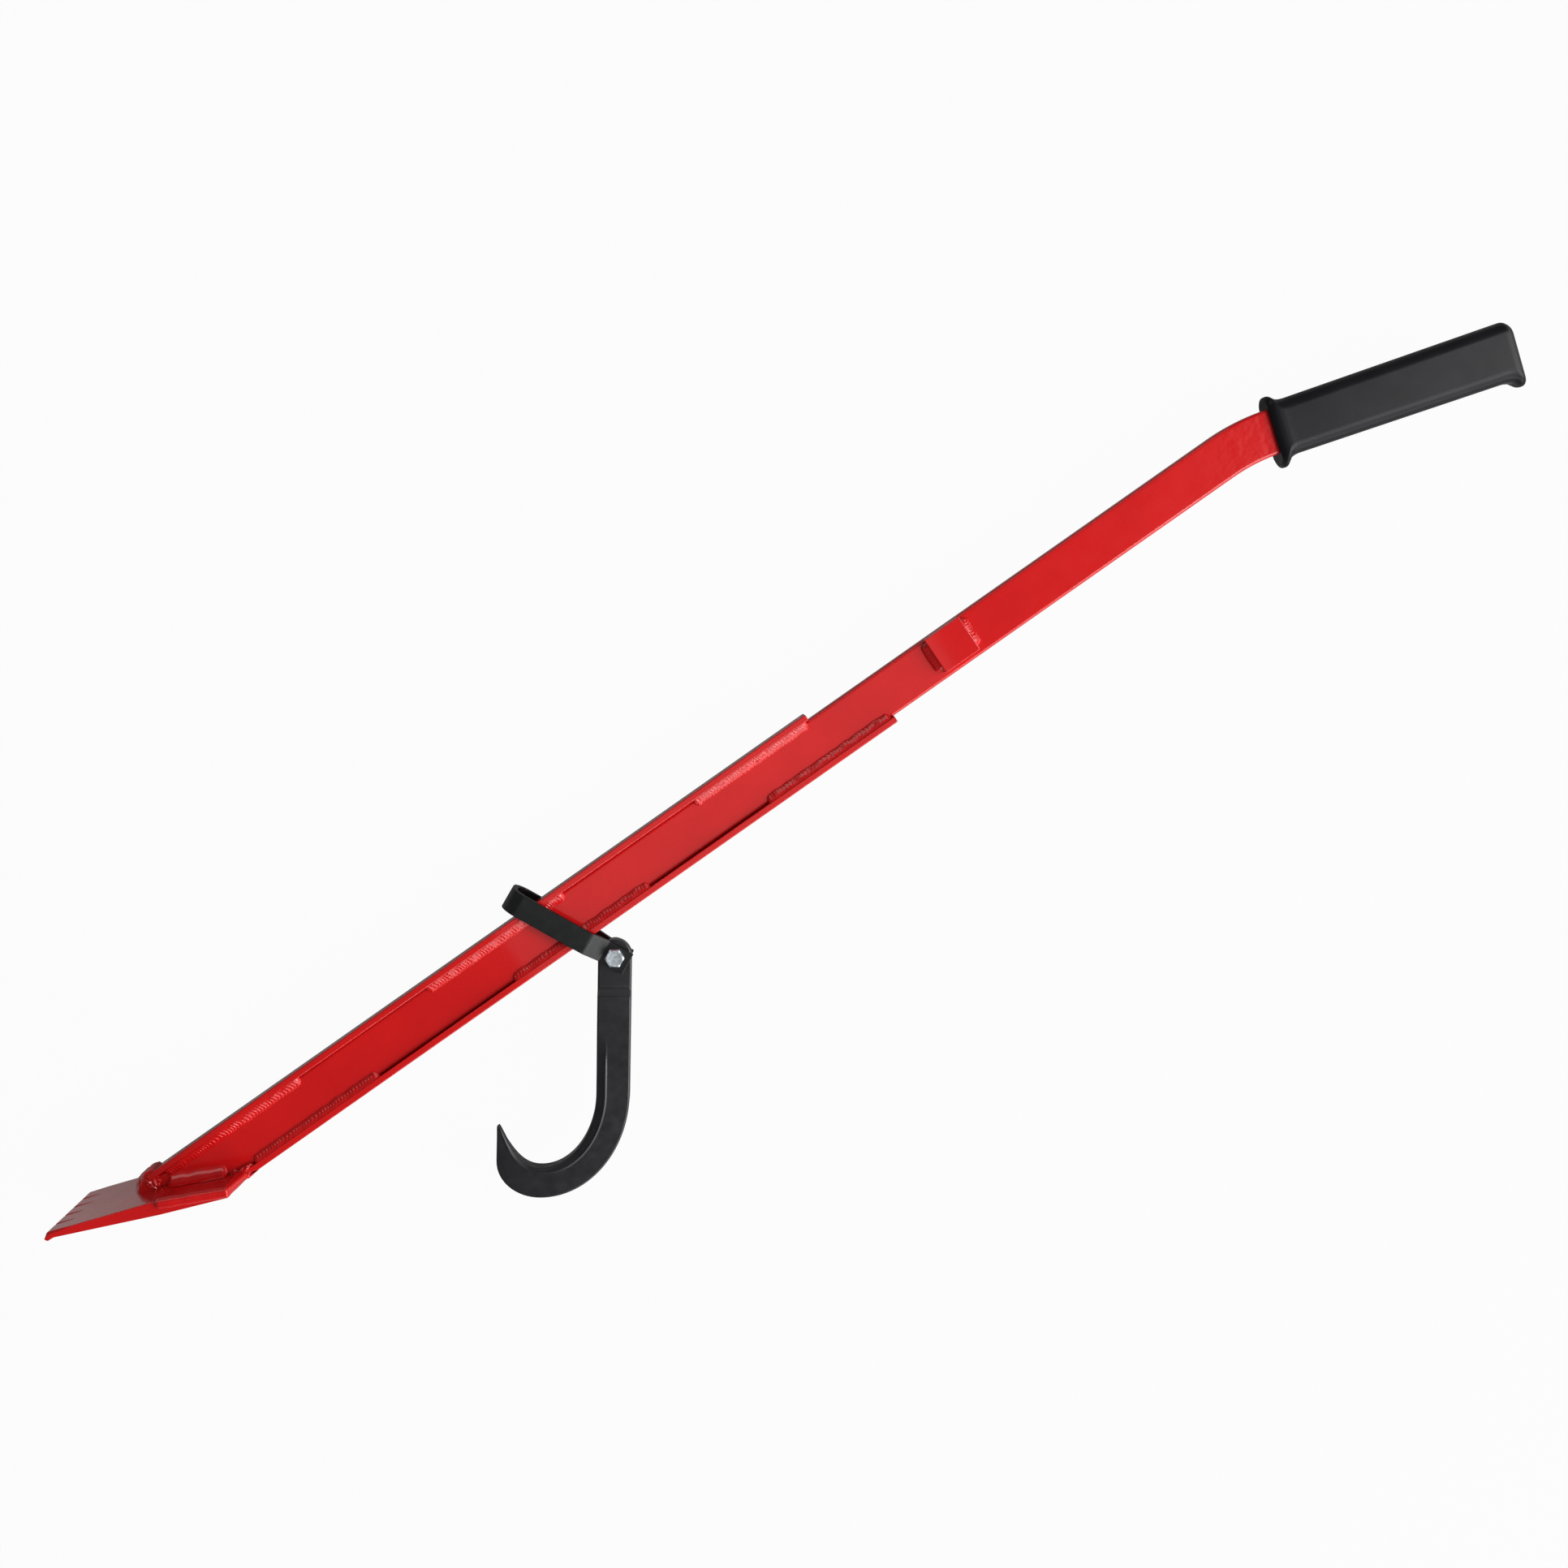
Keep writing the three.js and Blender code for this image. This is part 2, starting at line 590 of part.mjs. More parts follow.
// Hexagon with its edges turned off at both or one end, between two heights
function hexagon(bottom, top, chamferBottom) {
  const corner = HEX_ACROSS_FLATS / Math.sqrt(3);
  const height = top - bottom;
  const edge = (corner - HEX_ACROSS_FLATS * HALF) * HALF;
  const geometry = new THREE.CylinderGeometry(corner, corner, height, 6);
  geometry.rotateX(Math.PI / 2);
  geometry.translate(0, 0, (top + bottom) * HALF);
  const flat = corner - edge - edge;
  const profile = [
    new THREE.Vector2(0, bottom),
    new THREE.Vector2(chamferBottom ? flat : corner + edge, bottom),
    new THREE.Vector2(corner + edge, bottom + (chamferBottom ? edge : 0)),
    new THREE.Vector2(corner + edge, top - edge),
    new THREE.Vector2(flat, top),
    new THREE.Vector2(0, top),
  ];
  if (!chamferBottom) {
    profile.splice(2, 1);
  }
  const turned = new THREE.LatheGeometry(profile, ROUND_STEPS);
  turned.rotateX(Math.PI / 2);
  return toSolid(geometry).intersect(toSolid(turned));
}

function pivotBolt() {
  const end = -legOuter - WASHER_THICKNESS - NUT_HEIGHT - BOLT_TAIL;
  const shank = toSolid(cylinder(BOLT_DIAMETER * HALF, end, legOuter + HEAD_HEIGHT * HALF));
  return toGeometry(hexagon(legOuter, legOuter + HEAD_HEIGHT, false).add(shank));
}

function pivotWasher() {
  const top = -legOuter;
  const disc = cylinder(WASHER_DIAMETER * HALF, top - WASHER_THICKNESS, top);
  return cut(disc, cylinder(boreRadius, top - WASHER_THICKNESS - CUT_OVERRUN, top + CUT_OVERRUN));
}

// Lock nut: a hexagon with a round collar on its far end
function pivotNut() {
  const top = -legOuter - WASHER_THICKNESS;
  const collarStart = top - NUT_HEIGHT * (1 - NUT_COLLAR_SHARE);
  const collarRadius = HEX_ACROSS_FLATS * HALF * (1 - NUT_COLLAR_INSET_SHARE);
  const collar = toSolid(cylinder(collarRadius, top - NUT_HEIGHT, (collarStart + top) * HALF));
  const bore = toSolid(cylinder(boreRadius, top - NUT_HEIGHT - CUT_OVERRUN, top + CUT_OVERRUN));
  return toGeometry(hexagon(collarStart, top, true).add(collar).subtract(bore));
}

// Strap seen on its edge: X runs from the bolt to the bend, Y across the bar.
// The legs jog out past the lower strip's edges, and the upper one lies on the strip's edge.
function stirrup() {
  const inner = FLANGE_WIDTH * HALF + STIRRUP_SIDE_CLEARANCE;
  const outer = inner + STRAP_THICKNESS;
  const eye = legOuter - STRAP_THICKNESS;
  const level = Math.sqrt(PIVOT_DROP ** 2 - (STRAP_WIDTH * HALF) ** 2);
  const spread = FLANGE_WIDTH * HALF + STIRRUP_SETTLE - eye;
  const slope = Math.atan2(spread, level - JOG_START);
  const jogEnd = JOG_START + (inner - eye) / Math.tan(slope);
  const shift = STRAP_THICKNESS * Math.tan(slope * HALF);
  const radius = STIRRUP_BEND_RADIUS;
  const wide = radius + STRAP_THICKNESS;
  const centre = PIVOT_DROP + beamHalf + beamHalf + STIRRUP_PLAY - radius;
  const right = Math.PI / 2;
  const shape = new THREE.Shape();
  shape.moveTo(-STIRRUP_TAIL, -legOuter);
  shape.lineTo(JOG_START - shift, -legOuter);
  shape.lineTo(jogEnd - shift, -outer);
  shape.lineTo(centre, -outer);
  shape.absarc(centre, radius - inner, wide, -right, 0, false);
  shape.absarc(centre, inner - radius, wide, 0, right, false);
  shape.lineTo(jogEnd - shift, outer);
  shape.lineTo(JOG_START - shift, legOuter);
  shape.lineTo(-STIRRUP_TAIL, legOuter);
  shape.lineTo(-STIRRUP_TAIL, eye);
  shape.lineTo(JOG_START, eye);
  shape.lineTo(jogEnd, inner);
  shape.lineTo(centre, inner);
  shape.absarc(centre, inner - radius, radius, right, 0, true);
  shape.absarc(centre, radius - inner, radius, 0, -right, true);
  shape.lineTo(jogEnd, -inner);
  shape.lineTo(JOG_START, -eye);
  shape.lineTo(-STIRRUP_TAIL, -eye);
  const strap = plate(shape, STRAP_WIDTH, STRAP_EDGE_RADIUS, 1, STIRRUP_BEND_STEPS);
  const lean = radians(STIRRUP_LEAN);
  const axis = new THREE.Vector3(-Math.sin(lean), Math.cos(lean), 0);
  strap.applyMatrix4(new THREE.Matrix4().makeBasis(axis, Z_AXIS, axis.clone().cross(Z_AXIS)));
  return cut(strap, cylinder(boreRadius, -legOuter - CUT_OVERRUN, legOuter + CUT_OVERRUN));
}

// Section of the hook between its outer and inner edge, with an inner facet of the given share
function hookRing(outer, inner, half, facetShare) {
  const width = outer.distanceTo(inner);
  const edge = Math.min(HOOK_EDGE_RADIUS, width * HALF * HALF, half * HALF);
  const near = edge * (1 - Math.SQRT1_2);
  const facet = THREE.MathUtils.lerp(edge, Math.min(HOOK_FACET, width * HALF), facetShare);
  const innerHalf = half - Math.min(HOOK_FACET_DROP, half * HALF) * facetShare;
  const side = [
    [0, half - edge],
    [near, half - near],
    [edge, half],
    [width - facet, half],
    [width - near, innerHalf - near],
    [width, innerHalf - edge],
  ];
  const across = inner.clone().sub(outer).normalize();
  const at = (offset, z) => new THREE.Vector3(outer.x + across.x * offset, outer.y + across.y * offset, z);
  return [
    ...side.map(([offset, z]) => at(offset, z)),
    ...side.toReversed().map(([offset, z]) => at(offset, -z)),
  ];
}

// Stations of the hook from its eye to its point, as pairs of outer and inner edge points
function hookStations() {
  const half = HOOK_WIDTH * HALF;
  const eyeHalf = HOOK_EYE_THICKNESS * HALF;
  const fullHalf = HOOK_THICKNESS * HALF;
  const stations = [];
  const add = (ox, oy, ix, iy, thickness, facet) => stations.push({
    outer: new THREE.Vector2(ox, oy),
    inner: new THREE.Vector2(ix, iy),
    thickness,
    facet,
  });
  for (const degrees of HOOK_EYE_ANGLES) {
    const x = half * Math.cos(radians(degrees));
    const y = half * Math.sin(radians(degrees));
    add(x, y, -x, y, eyeHalf, 0);
  }
  add(half, -HOOK_EYE_LENGTH, -half, -HOOK_EYE_LENGTH, eyeHalf, 0);
  const stepEnd = HOOK_EYE_LENGTH + HOOK_STEP_LENGTH;
  add(half, -stepEnd, -half, -stepEnd, fullHalf, 0);
  add(half, -HOOK_FACET_START, -half, -HOOK_FACET_START, fullHalf, 0);
  for (let i = 0; i <= HOOK_CURVE_STEPS; i += 1) {
    const angle = radians(90) * i / HOOK_CURVE_STEPS;
    const cos = Math.cos(angle);
    const sin = Math.sin(angle);
    add(
      (HOOK_REACH + half) * cos - HOOK_REACH,
      -HOOK_SHANK - (HOOK_DEPTH + HOOK_BOTTOM_WIDTH) * sin,
      (HOOK_REACH - half) * cos - HOOK_REACH,
      -HOOK_SHANK - HOOK_DEPTH * sin,
      fullHalf,
      1,
    );
  }
  addToe(add, fullHalf);
  return stations;
}

// Toe of the hook: a quarter ellipse and a straight outside, one free curve inside
function addToe(add, fullHalf) {
  const bottom = HOOK_SHANK + HOOK_DEPTH;
  const reach = HOOK_POINT_REACH - HOOK_REACH;
  const rise = bottom - HOOK_POINT_DROP;
  const [p0, p1, p2, p3] = HOOK_TOE_INNER_SHARES.map(([along, down]) => (
    new THREE.Vector2(reach * along - HOOK_REACH, -HOOK_POINT_DROP - rise * down)
  ));
  const innerCurve = new THREE.CubicBezierCurve(p0, p1, p2, p3);
  const toeDepth = bottom + HOOK_BOTTOM_WIDTH - HOOK_TOE_DROP;
  const outerCurve = new THREE.CurvePath();
  const right = Math.PI / 2;
  const ellipse = new THREE.EllipseCurve(-HOOK_REACH, -HOOK_TOE_DROP, reach, toeDepth, -right, -Math.PI, true);
  outerCurve.add(ellipse);
  outerCurve.add(new THREE.LineCurve(ellipse.getPoint(1), p3));
  const outerLength = outerCurve.getLength();
  for (let i = 1; i <= HOOK_TOE_STEPS; i += 1) {
    const share = i / HOOK_TOE_STEPS;
    const last = i === HOOK_TOE_STEPS;
    const outer = outerCurve.getPointAt(last ? 1 - HOOK_POINT_HALF_THICKNESS / outerLength : share);
    const inner = innerCurve.getPointAt(last ? 1 - HOOK_POINT_WIDTH_SHARE * HALF : share);
    const thickness = THREE.MathUtils.lerp(fullHalf, HOOK_POINT_HALF_THICKNESS, share ** 2);
    add(outer.x, outer.y, inner.x, inner.y, thickness, 1 - share * HALF);
  }
}

function hook() {
  const rings = hookStations().map(({ outer, inner, thickness, facet }) => (
    hookRing(outer, inner, thickness, facet)
  ));
  const body = loft(rings);
  const bored = cut(body, cylinder(boreRadius, -HOOK_THICKNESS, HOOK_THICKNESS));
  bored.rotateZ(radians(-HOOK_SWING));
  return bored;
}

// The welded lever with its grip
function leverGroup() {
  const group = new THREE.Group();
  const clearance = bladeClearance();
  const half = BAR_HEIGHT * HALF;
  group.add(part('main_bar', cut(barSolid(0), clearance), 'red'));
  const upper = block(0, half, UPPER_FLANGE_END, beamHalf, FLANGE_WIDTH, FLANGE_EDGE_RADIUS);
  group.add(part('upper_flange', upper, 'red'));
  const lower = block(0, -beamHalf, LOWER_FLANGE_END, -half, FLANGE_WIDTH, FLANGE_EDGE_RADIUS);
  group.add(part('lower_flange', cut(lower, clearance), 'red'));
  const blade = cut(plate(bladeOutline(), BLADE_WIDTH, BLADE_EDGE_RADIUS, 2, 1), ...grooveTools());
  group.add(part('blade', blade.applyMatrix4(footFrame), 'red'));
  seamWelds(group, 'upper', 1, UPPER_STITCH_SHARES, 0, UPPER_FLANGE_END);
  seamWelds(group, 'lower', -1, LOWER_STITCH_SHARES, lowerFlangeStart, LOWER_FLANGE_END);
  const edge = edgeWeld();
  group.add(part('edge_weld_near', edge, 'red'));
  group.add(part('edge_weld_far', mirrored(edge), 'red'));
  group.add(part('foot_weld_front', frontWeld(clearance), 'red'));
  group.add(part('foot_weld_rear', rearWeld(), 'red'));
  for (const [name, face] of [['near', 1], ['far', -1]]) {
    group.add(part(`foot_weld_${name}`, footWeld(face), 'red'));
    group.add(part(`stop_block_${name}`, stopBlock(face), 'red'));
    group.add(part(`stop_weld_${name}_front`, stopWeld(face, -1), 'red'));
    group.add(part(`stop_weld_${name}_rear`, stopWeld(face, 1), 'red'));
  }
  group.add(part('grip', grip(), 'grip'));
  return group;
}

// The hook, its stirrup and the bolt that joins them, settled down onto the lower strip's edge
function pivotGroup() {
  const group = new THREE.Group();
  group.position.set(PIVOT_X, -beamHalf - PIVOT_DROP, -STIRRUP_SETTLE);
  group.add(part('pivot_bolt', pivotBolt(), 'zinc'));
  group.add(part('pivot_washer', pivotWasher(), 'zinc'));
  group.add(part('pivot_nut', pivotNut(), 'zinc'));
  group.add(part('stirrup', stirrup(), 'strap'));
  group.add(part('hook', hook(), 'black'));
  return group;
}

const fellingLever = new THREE.Group();
fellingLever.add(leverGroup(), pivotGroup());
fellingLever.updateMatrixWorld(true);

// The origin lies under the middle of the whole lever, on the ground it rests on
const box = new THREE.Box3().setFromObject(fellingLever, true);
const middle = box.getCenter(new THREE.Vector3());
fellingLever.position.set(-middle.x, -middle.y, -box.min.z);

export default fellingLever;
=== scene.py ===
"""A felling lever with a cant hook, lying on its side on a pale floor, seen from above.

Shapes are worked out in millimetres in the bar's own frame: X runs back from the middle of the
bar's front end, Y points to the bar's upper side and Z is up, across the bar.
"""
import json
import math

import bpy
import numpy as np
from mathutils import Matrix, Vector


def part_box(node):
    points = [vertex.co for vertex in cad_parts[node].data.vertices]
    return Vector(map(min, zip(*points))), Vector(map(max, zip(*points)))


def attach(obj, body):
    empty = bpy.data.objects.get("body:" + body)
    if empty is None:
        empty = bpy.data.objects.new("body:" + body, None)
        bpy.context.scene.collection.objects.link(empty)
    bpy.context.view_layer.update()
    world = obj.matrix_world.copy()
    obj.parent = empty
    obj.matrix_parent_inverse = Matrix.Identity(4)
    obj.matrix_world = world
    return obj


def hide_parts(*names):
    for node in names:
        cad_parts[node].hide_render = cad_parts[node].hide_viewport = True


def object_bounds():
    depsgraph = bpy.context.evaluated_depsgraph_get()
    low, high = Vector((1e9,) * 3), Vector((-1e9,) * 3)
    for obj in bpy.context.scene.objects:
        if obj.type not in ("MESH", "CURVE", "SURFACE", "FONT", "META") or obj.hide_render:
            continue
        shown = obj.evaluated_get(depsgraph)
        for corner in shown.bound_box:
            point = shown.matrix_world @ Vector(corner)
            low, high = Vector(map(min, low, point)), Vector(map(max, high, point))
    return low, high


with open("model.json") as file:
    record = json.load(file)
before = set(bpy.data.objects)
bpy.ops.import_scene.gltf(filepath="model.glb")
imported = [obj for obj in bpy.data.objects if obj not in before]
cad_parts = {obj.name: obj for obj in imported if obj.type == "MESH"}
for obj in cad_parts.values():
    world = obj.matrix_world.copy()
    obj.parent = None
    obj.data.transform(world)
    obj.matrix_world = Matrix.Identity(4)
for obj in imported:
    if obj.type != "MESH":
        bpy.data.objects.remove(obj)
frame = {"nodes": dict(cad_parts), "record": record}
CAD_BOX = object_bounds()

MM = 0.001

# Photograph: a square of this many pixels, its focal length in pixels, where a line straight
# down onto the floor vanishes in it, and how many degrees the bar rises in it. The camera's
# place is counted from the bar's origin, and its clip end is in metres.
PHOTO_PX = 1932
FOCAL_PX = 1915
PLUMB_PX = (840, 784)
BAR_RISE = 35.02
SENSOR_MM = 36
CAMERA_MM = (566.6, 123.8, 1180.4)
CAMERA_CLIP_END = 100

# The bar's two faces, and the way each one looks along Z
FACES = (("near", 1), ("far", -1))

# Bar and strips
BAR_HALF = 17.5
BAR_HALF_THICKNESS = 6
BAR_EDGE_RADIUS = 2.5
BAR_SECTION_STEP = 1.5
BAR_STATION_SHARES = (0, 0.02, 0.5, 0.98, 1)
BAR_STRAIGHT = 981
BEND_RADIUS = 160
BEND_ANGLE = math.radians(16)
BEND_STATIONS = 17
FLANGE_HALF_WIDTH = 10
FLANGE_THICKNESS = 5
FLANGE_EDGE_RADIUS = 1
UPPER_FLANGE_END = 609
LOWER_FLANGE_END = 664
BEAM_HALF = BAR_HALF + FLANGE_THICKNESS

# Blade
HEEL = np.array((7.7, 7.5))
HEEL_TOP_RADIUS = 30
HEEL_UNDER_RADIUS = 12
BLADE_SLOPE = math.radians(19.3)
REAR_SLOPE = math.radians(26)
BLADE_LENGTH = 82.4
BLADE_HALF_WIDTH = 43
BLADE_EDGE_RADIUS = 0.8
BLADE_SPANS = 210
BLADE_SHARP = math.radians(40)
REAR_LENGTH = 55.2
REAR_THICKNESS = 6.6
REAR_CORNER_RADIUS = 0.8
HEEL_THICKNESS = 11
HEEL_SETBACK = 3.4
SEAT_GAP = 0.3

# The blade's nose: its corners' distances back are shares of the lip's length, and the front
# corner's depth is a share of the lip's depth. The radii run from the underside to the top.
TIP_THICKNESS = 5.1
TIP_LIP_DROP = 1.4
TIP_LIP_LENGTH = 4.5
NOSE_UNDER_SHARE = 1.6
NOSE_LIP_SHARE = 0.55
NOSE_FRONT_SHARE = 0.72
NOSE_TOP_SHARE = 0.7
NOSE_RADII = (6, 1.1, 1.6, 3.4)

# Grooves in the blade's top: the powers shape how depth and width run out and how the walls
# curve, and the notch is how far each one draws the nose back
GROOVE_SPACES = 5
GROOVE_LENGTH = 19
GROOVE_RUNOUT = 3
GROOVE_STATIONS = 14
GROOVE_DEPTH = 2.3
GROOVE_HALF_WIDTH = 2.2
GROOVE_DEPTH_POWER = 0.6
GROOVE_WIDTH_POWER = 0.5
GROOVE_WALL_POWER = 0.15
GROOVE_LEAST = 0.01
GROOVE_REACH_SHARE = 0.8
NOTCH_SHARE = 0.9
NOTCH_LENGTH = 4
TOP_SLACK = 0.02

# Slow unevenness: waves of nearby lengths, as shares of the given one, and its gain
WANDER_WAVES = 5
WANDER_SPREAD_SHARES = (0.7, 1.6)
WANDER_GAIN = 1.4

# Weld beads: the shares are of each strip's length
UPPER_STITCH_SHARES = ((0.02, 0.225), (0.417, 0.626), (0.823, 0.996))
LOWER_STITCH_SHARES = ((0.02, 0.212), (0.418, 0.627), (0.808, 0.996))
STITCH_LEGS = (6, 3.6)
STITCH_CROWN = 0.55
FOOT_LEGS = (8, 9)
FOOT_CROWN = -1.5
FOOT_RIPPLE_HEIGHT = 0.08
FOOT_START = 1
FOOT_END = 46.2
STOP_LEGS = (5.5, 5.5)
STOP_CROWN = 0.7
BEAD_TAPER = 4
BEAD_STEP = 0.27
BEAD_POINTS = 11
BEAD_END_LEAST = 0.01
BEAD_RISE_SHARE = 0.7
LEG_UNEVEN_SHARES = (0.07, 0.06)
LEG_WAVES = (14, 11)

# Ripples on a bead: the drift and the step are shares of a ripple, the mean keeps the ripples
# level, and the strength wanders about its middle value
RIPPLE_PITCH = 2.7
RIPPLE_HEIGHT = 0.75
RIPPLE_BOW = 2.4
RIPPLE_DRIFT_SHARE = 0.5
RIPPLE_DRIFT_PITCHES = 9
RIPPLE_STEP_SHARE = 0.25
RIPPLE_MEAN = 0.4
RIPPLE_STRENGTH = (0.75, 0.35)
RIPPLE_STRENGTH_WAVE = 13

# Stop blocks
STOP_START = 714.5
STOP_LENGTH = 31.5
STOP_HEIGHT = 30
STOP_THICKNESS = 8
STOP_TOP_SETBACK = 0.3
STOP_FAR_DROP = 1.4
STOP_CORNER_RADIUS = 1.2
STOP_EDGE_RADIUS = 0.8
STOP_WELD_MARGIN = 2.5
STOP_SHARP = math.radians(11)

# Edge bead: a ridged arc round this centre, by offsets out from the blade's edge and up from its
# top, over a root below that top
EDGE_CENTRE = (0.2, -1.9)
EDGE_RADII = (3.3, 4)
EDGE_ARC = (145, -72)
EDGE_POINTS = 37
EDGE_RIDGES = 3
EDGE_RIDGE_HEIGHT = 0.5
EDGE_RIDGE_POWER = 0.8
EDGE_RIDGE_MEAN = 0.5
EDGE_START = 3
EDGE_STATION = 0.5
EDGE_TURN_STATIONS = 16
EDGE_TURN_MARGIN = 1
EDGE_TURN_RUN = 0.1
EDGE_END_LEAST = 0.02
EDGE_BULGE = 3.6
EDGE_BULGE_GAP = 0.05
EDGE_ROOT_OFFSET = -2.5
EDGE_ROOT_HEIGHTS = (-5.0, -1.0)
EDGE_CORNER_SHARE = 0.6
EDGE_REAR_SHARE = 1.8
EDGE_RIPPLE_SHARE = 0.1
EDGE_RIPPLE_PITCH = 5
EDGE_UNEVEN_SHARE = 0.06
EDGE_UNEVEN_WAVE = 22

# Front bead: its profile by X and height over the strip's top, then over the blade, and its
# roughness as height, wave length across the bar and waves along the profile
FRONT_OVER_STRIP = (
    (7.6, -0.4), (6.8, 2), (4.6, 3.2), (0, 3.2), (-5, 2.6), (-9.5, 1.2), (-12.6, -0.8), (-15, -3.6),
)
FRONT_OVER_BLADE = ((-16.6, 0.8), (-17.6, -0.6))
FRONT_ROOT = ((-2, 8), (4, 12))
FRONT_POINTS = 46
FRONT_SECTIONS = 61
FRONT_FAR_SETBACK = 0.6
FRONT_NEAR_SETBACK = 1.6
FRONT_NEAR_REACH = 11.5
FRONT_FAR_REACH = 13
FRONT_LAP = 0.4
FRONT_BLEND_LENGTH = 7
FRONT_ROUGHNESS = ((0.28, 5.1, 2.3), (0.2, 2.9, -5))

# Rear bead
REAR_BEAD_LAP = 2
REAR_BEAD_LAP_HEIGHTS = (0.2, 1)
REAR_BEAD_BULGE = 1.6
REAR_BEAD_FOOT = (2, 0.8)
REAR_BEAD_ROOT = (-4, 3)
REAR_BEAD_RADII = (0.6, 5, 0.5)
REAR_BEAD_SETBACK = 0.4
REAR_BEAD_EDGE_RADIUS = 1.2

# Lumps of weld at the ends of beads: name, centre, radii and seed, and how a lump is dented
CORNER_LUMPS = (
    ("front_lump", (0.5, 15.5, 5.6), (6, 6.5, 4.2), 100),
    ("rear_lump", (53, -16.6, 6), (5.2, 4.2, 3.4), 110),
    ("gap_lump", (62, -17.2, 7.4), (7, 3.4, 3), 130),
    ("strip_lump", (61.5, -20.6, 8.6), (4.6, 2.2, 2.4), 120),
)
LUMP_POLE = 4
LUMP_ROWS = 40
LUMP_COLUMNS = 56
LUMP_WAVES = 7
LUMP_WAVE_SPREAD = 5.5
LUMP_DENT_SHARE = 0.34

# Grip: the stations are counts for its start, collar, middle, lip and rounded end
GRIP_OVER_BEND = 1
GRIP_LENGTH = 200
GRIP_WALLS = (4.1, 5.4)
GRIP_SIDE_WALL = 6.5
GRIP_CORNER_RADIUS = 9.5
GRIP_ROUND_SHARE = 0.875
GRIP_ARC_POINTS = 9
GRIP_MOUTH_DROP = 4
GRIP_MOUTH_LENGTH = 12
GRIP_START_LENGTH = 2.5
GRIP_STATIONS = (6, 26, 12, 14, 14)
GRIP_SHARP = math.radians(50)
COLLAR_FLARE = 7.2
COLLAR_FLARE_LENGTH = 15
COLLAR_TOP_SHARE = 0.74
COLLAR_SIDE_SHARE = 0.1
LIP_FLARE = 6.2
LIP_FLARE_LENGTH = 17
GRIP_END_RADIUS = 9.5
FLARE_ALONG_SHARES = (0, 0.04, 0.15, 0.28, 0.38, 0.5, 0.72, 1)
FLARE_HEIGHT_SHARES = (0.56, 0.82, 1, 0.92, 0.66, 0.34, 0.1, 0)

# Pivot bolt
PIVOT = np.array((384.4, -BEAM_HALF - 23.5, -1))
BOLT_RADIUS = 4
BOLT_TAIL = 4.8
BOLT_SHARP = math.radians(24)
AXIS_RADIUS = 0.2
BORE_CLEARANCE = 0.3
HEX_SIDES = 6
HEX_HALF = 6.5
HEX_CORNER = HEX_HALF / math.cos(math.pi / HEX_SIDES)
HEX_TURN = math.radians(-35)
CHAMFER_SHARE = 0.95
CHAMFER_FALL = (HEX_CORNER - HEX_HALF * CHAMFER_SHARE) * math.tan(math.radians(28))
HEAD_HEIGHT = 5.3
HEAD_RIM_DROP = 0.02
DISH_SHARES = (0.78, 0.7, 0.3)
DISH_DROPS = (0.16, 0.22)
THREAD_PITCH = 1.25
THREAD_DEPTH = 0.35
THREAD_TURNS = 13
THREAD_STEPS = 4
THREAD_START = 0.8
THREAD_RUNOUT = 0.4
THREAD_TIP_INSET = 0.9
WASHER_RADIUS = 8
WASHER_THICKNESS = 1.6
WASHER_EDGE = 0.25
NUT_HEIGHT = 8
NUT_COLLAR_SHARE = 0.88
NUT_COLLAR_EDGE = 0.6
NUT_COLLAR_HEIGHT_SHARE = 0.27
NUT_HEX_START_SHARE = 0.3

# Stirrup
STIRRUP_LEAN = math.radians(24.9)
STRAP_WIDTH = 17.5
STRAP_THICKNESS = 4.4
STRAP_EDGE_RADIUS = 0.7
STIRRUP_PLAY = 20.7
STIRRUP_SIDE_CLEARANCE = 2
STIRRUP_SETTLE = 1
STIRRUP_TAIL = 11.4
STIRRUP_TAIL_RADIUS = 0.5
JOG_START = 10.5
JOG_RADIUS = 5
STIRRUP_BEND_RADIUS = 8
STIRRUP_SHARP = math.radians(40)

# Hook: the narrow shares are the facet's width at the toe and its growth from there, and the
# crease is given by offsets from the facet's upper edge and shares of the ridge
HOOK_SWING = math.radians(36.2)
HOOK_WIDTH = 25.8
HOOK_THICKNESS = 15
HOOK_EYE_THICKNESS = 10
HOOK_EDGE_RADIUS = 1.6
HOOK_EDGE_SHARES = (1 / 4, 1 / 2)
HOOK_EYE_LENGTH = 23
HOOK_EYE_TURN = 86
HOOK_EYE_STATIONS = 18
HOOK_FIRST_STATION = 10
HOOK_STATION_MARGIN = 2
HOOK_STEP_LENGTH = 8.6
HOOK_STEP_ALONG = (-1.6, -1, -0.5, 0.2, 1.4, 3.2, 7.2, 8.2, 8.8, 9.4, 10.2)
HOOK_STEP_RISE_SHARES = (0, 0.03, 0.06, 0, -0.14, -0.12, 0.86, 1.03, 1.06, 1.03, 1)
HOOK_SHANK = 107.3
HOOK_SHANK_STATIONS = 30
HOOK_REACH = 54.9
HOOK_DEPTH = 59.2
HOOK_CURVE_STATIONS = 44
HOOK_BOTTOM_WIDTH = 23.3
HOOK_POINT_REACH = 88.8
HOOK_POINT_DROP = 131.8
HOOK_POINT_HALF_THICKNESS = 2
HOOK_TOE_DROP = 161.4
HOOK_TOE_STATIONS = 25
HOOK_TOE_ARC_POINTS = 60
HOOK_TOE_STRAIGHT_POINTS = 20
HOOK_TOE_INNER_SHARES = ((0, 1), (-0.46, 1), (-0.665, 0.575), (-1, 0))
HOOK_ARC_POINTS = 6
HOOK_FACET = 7
HOOK_FACET_WIDTH_SHARE = 0.36
HOOK_FACET_DROP = 2.6
HOOK_FACET_START = 62
HOOK_FACET_RUN = 30
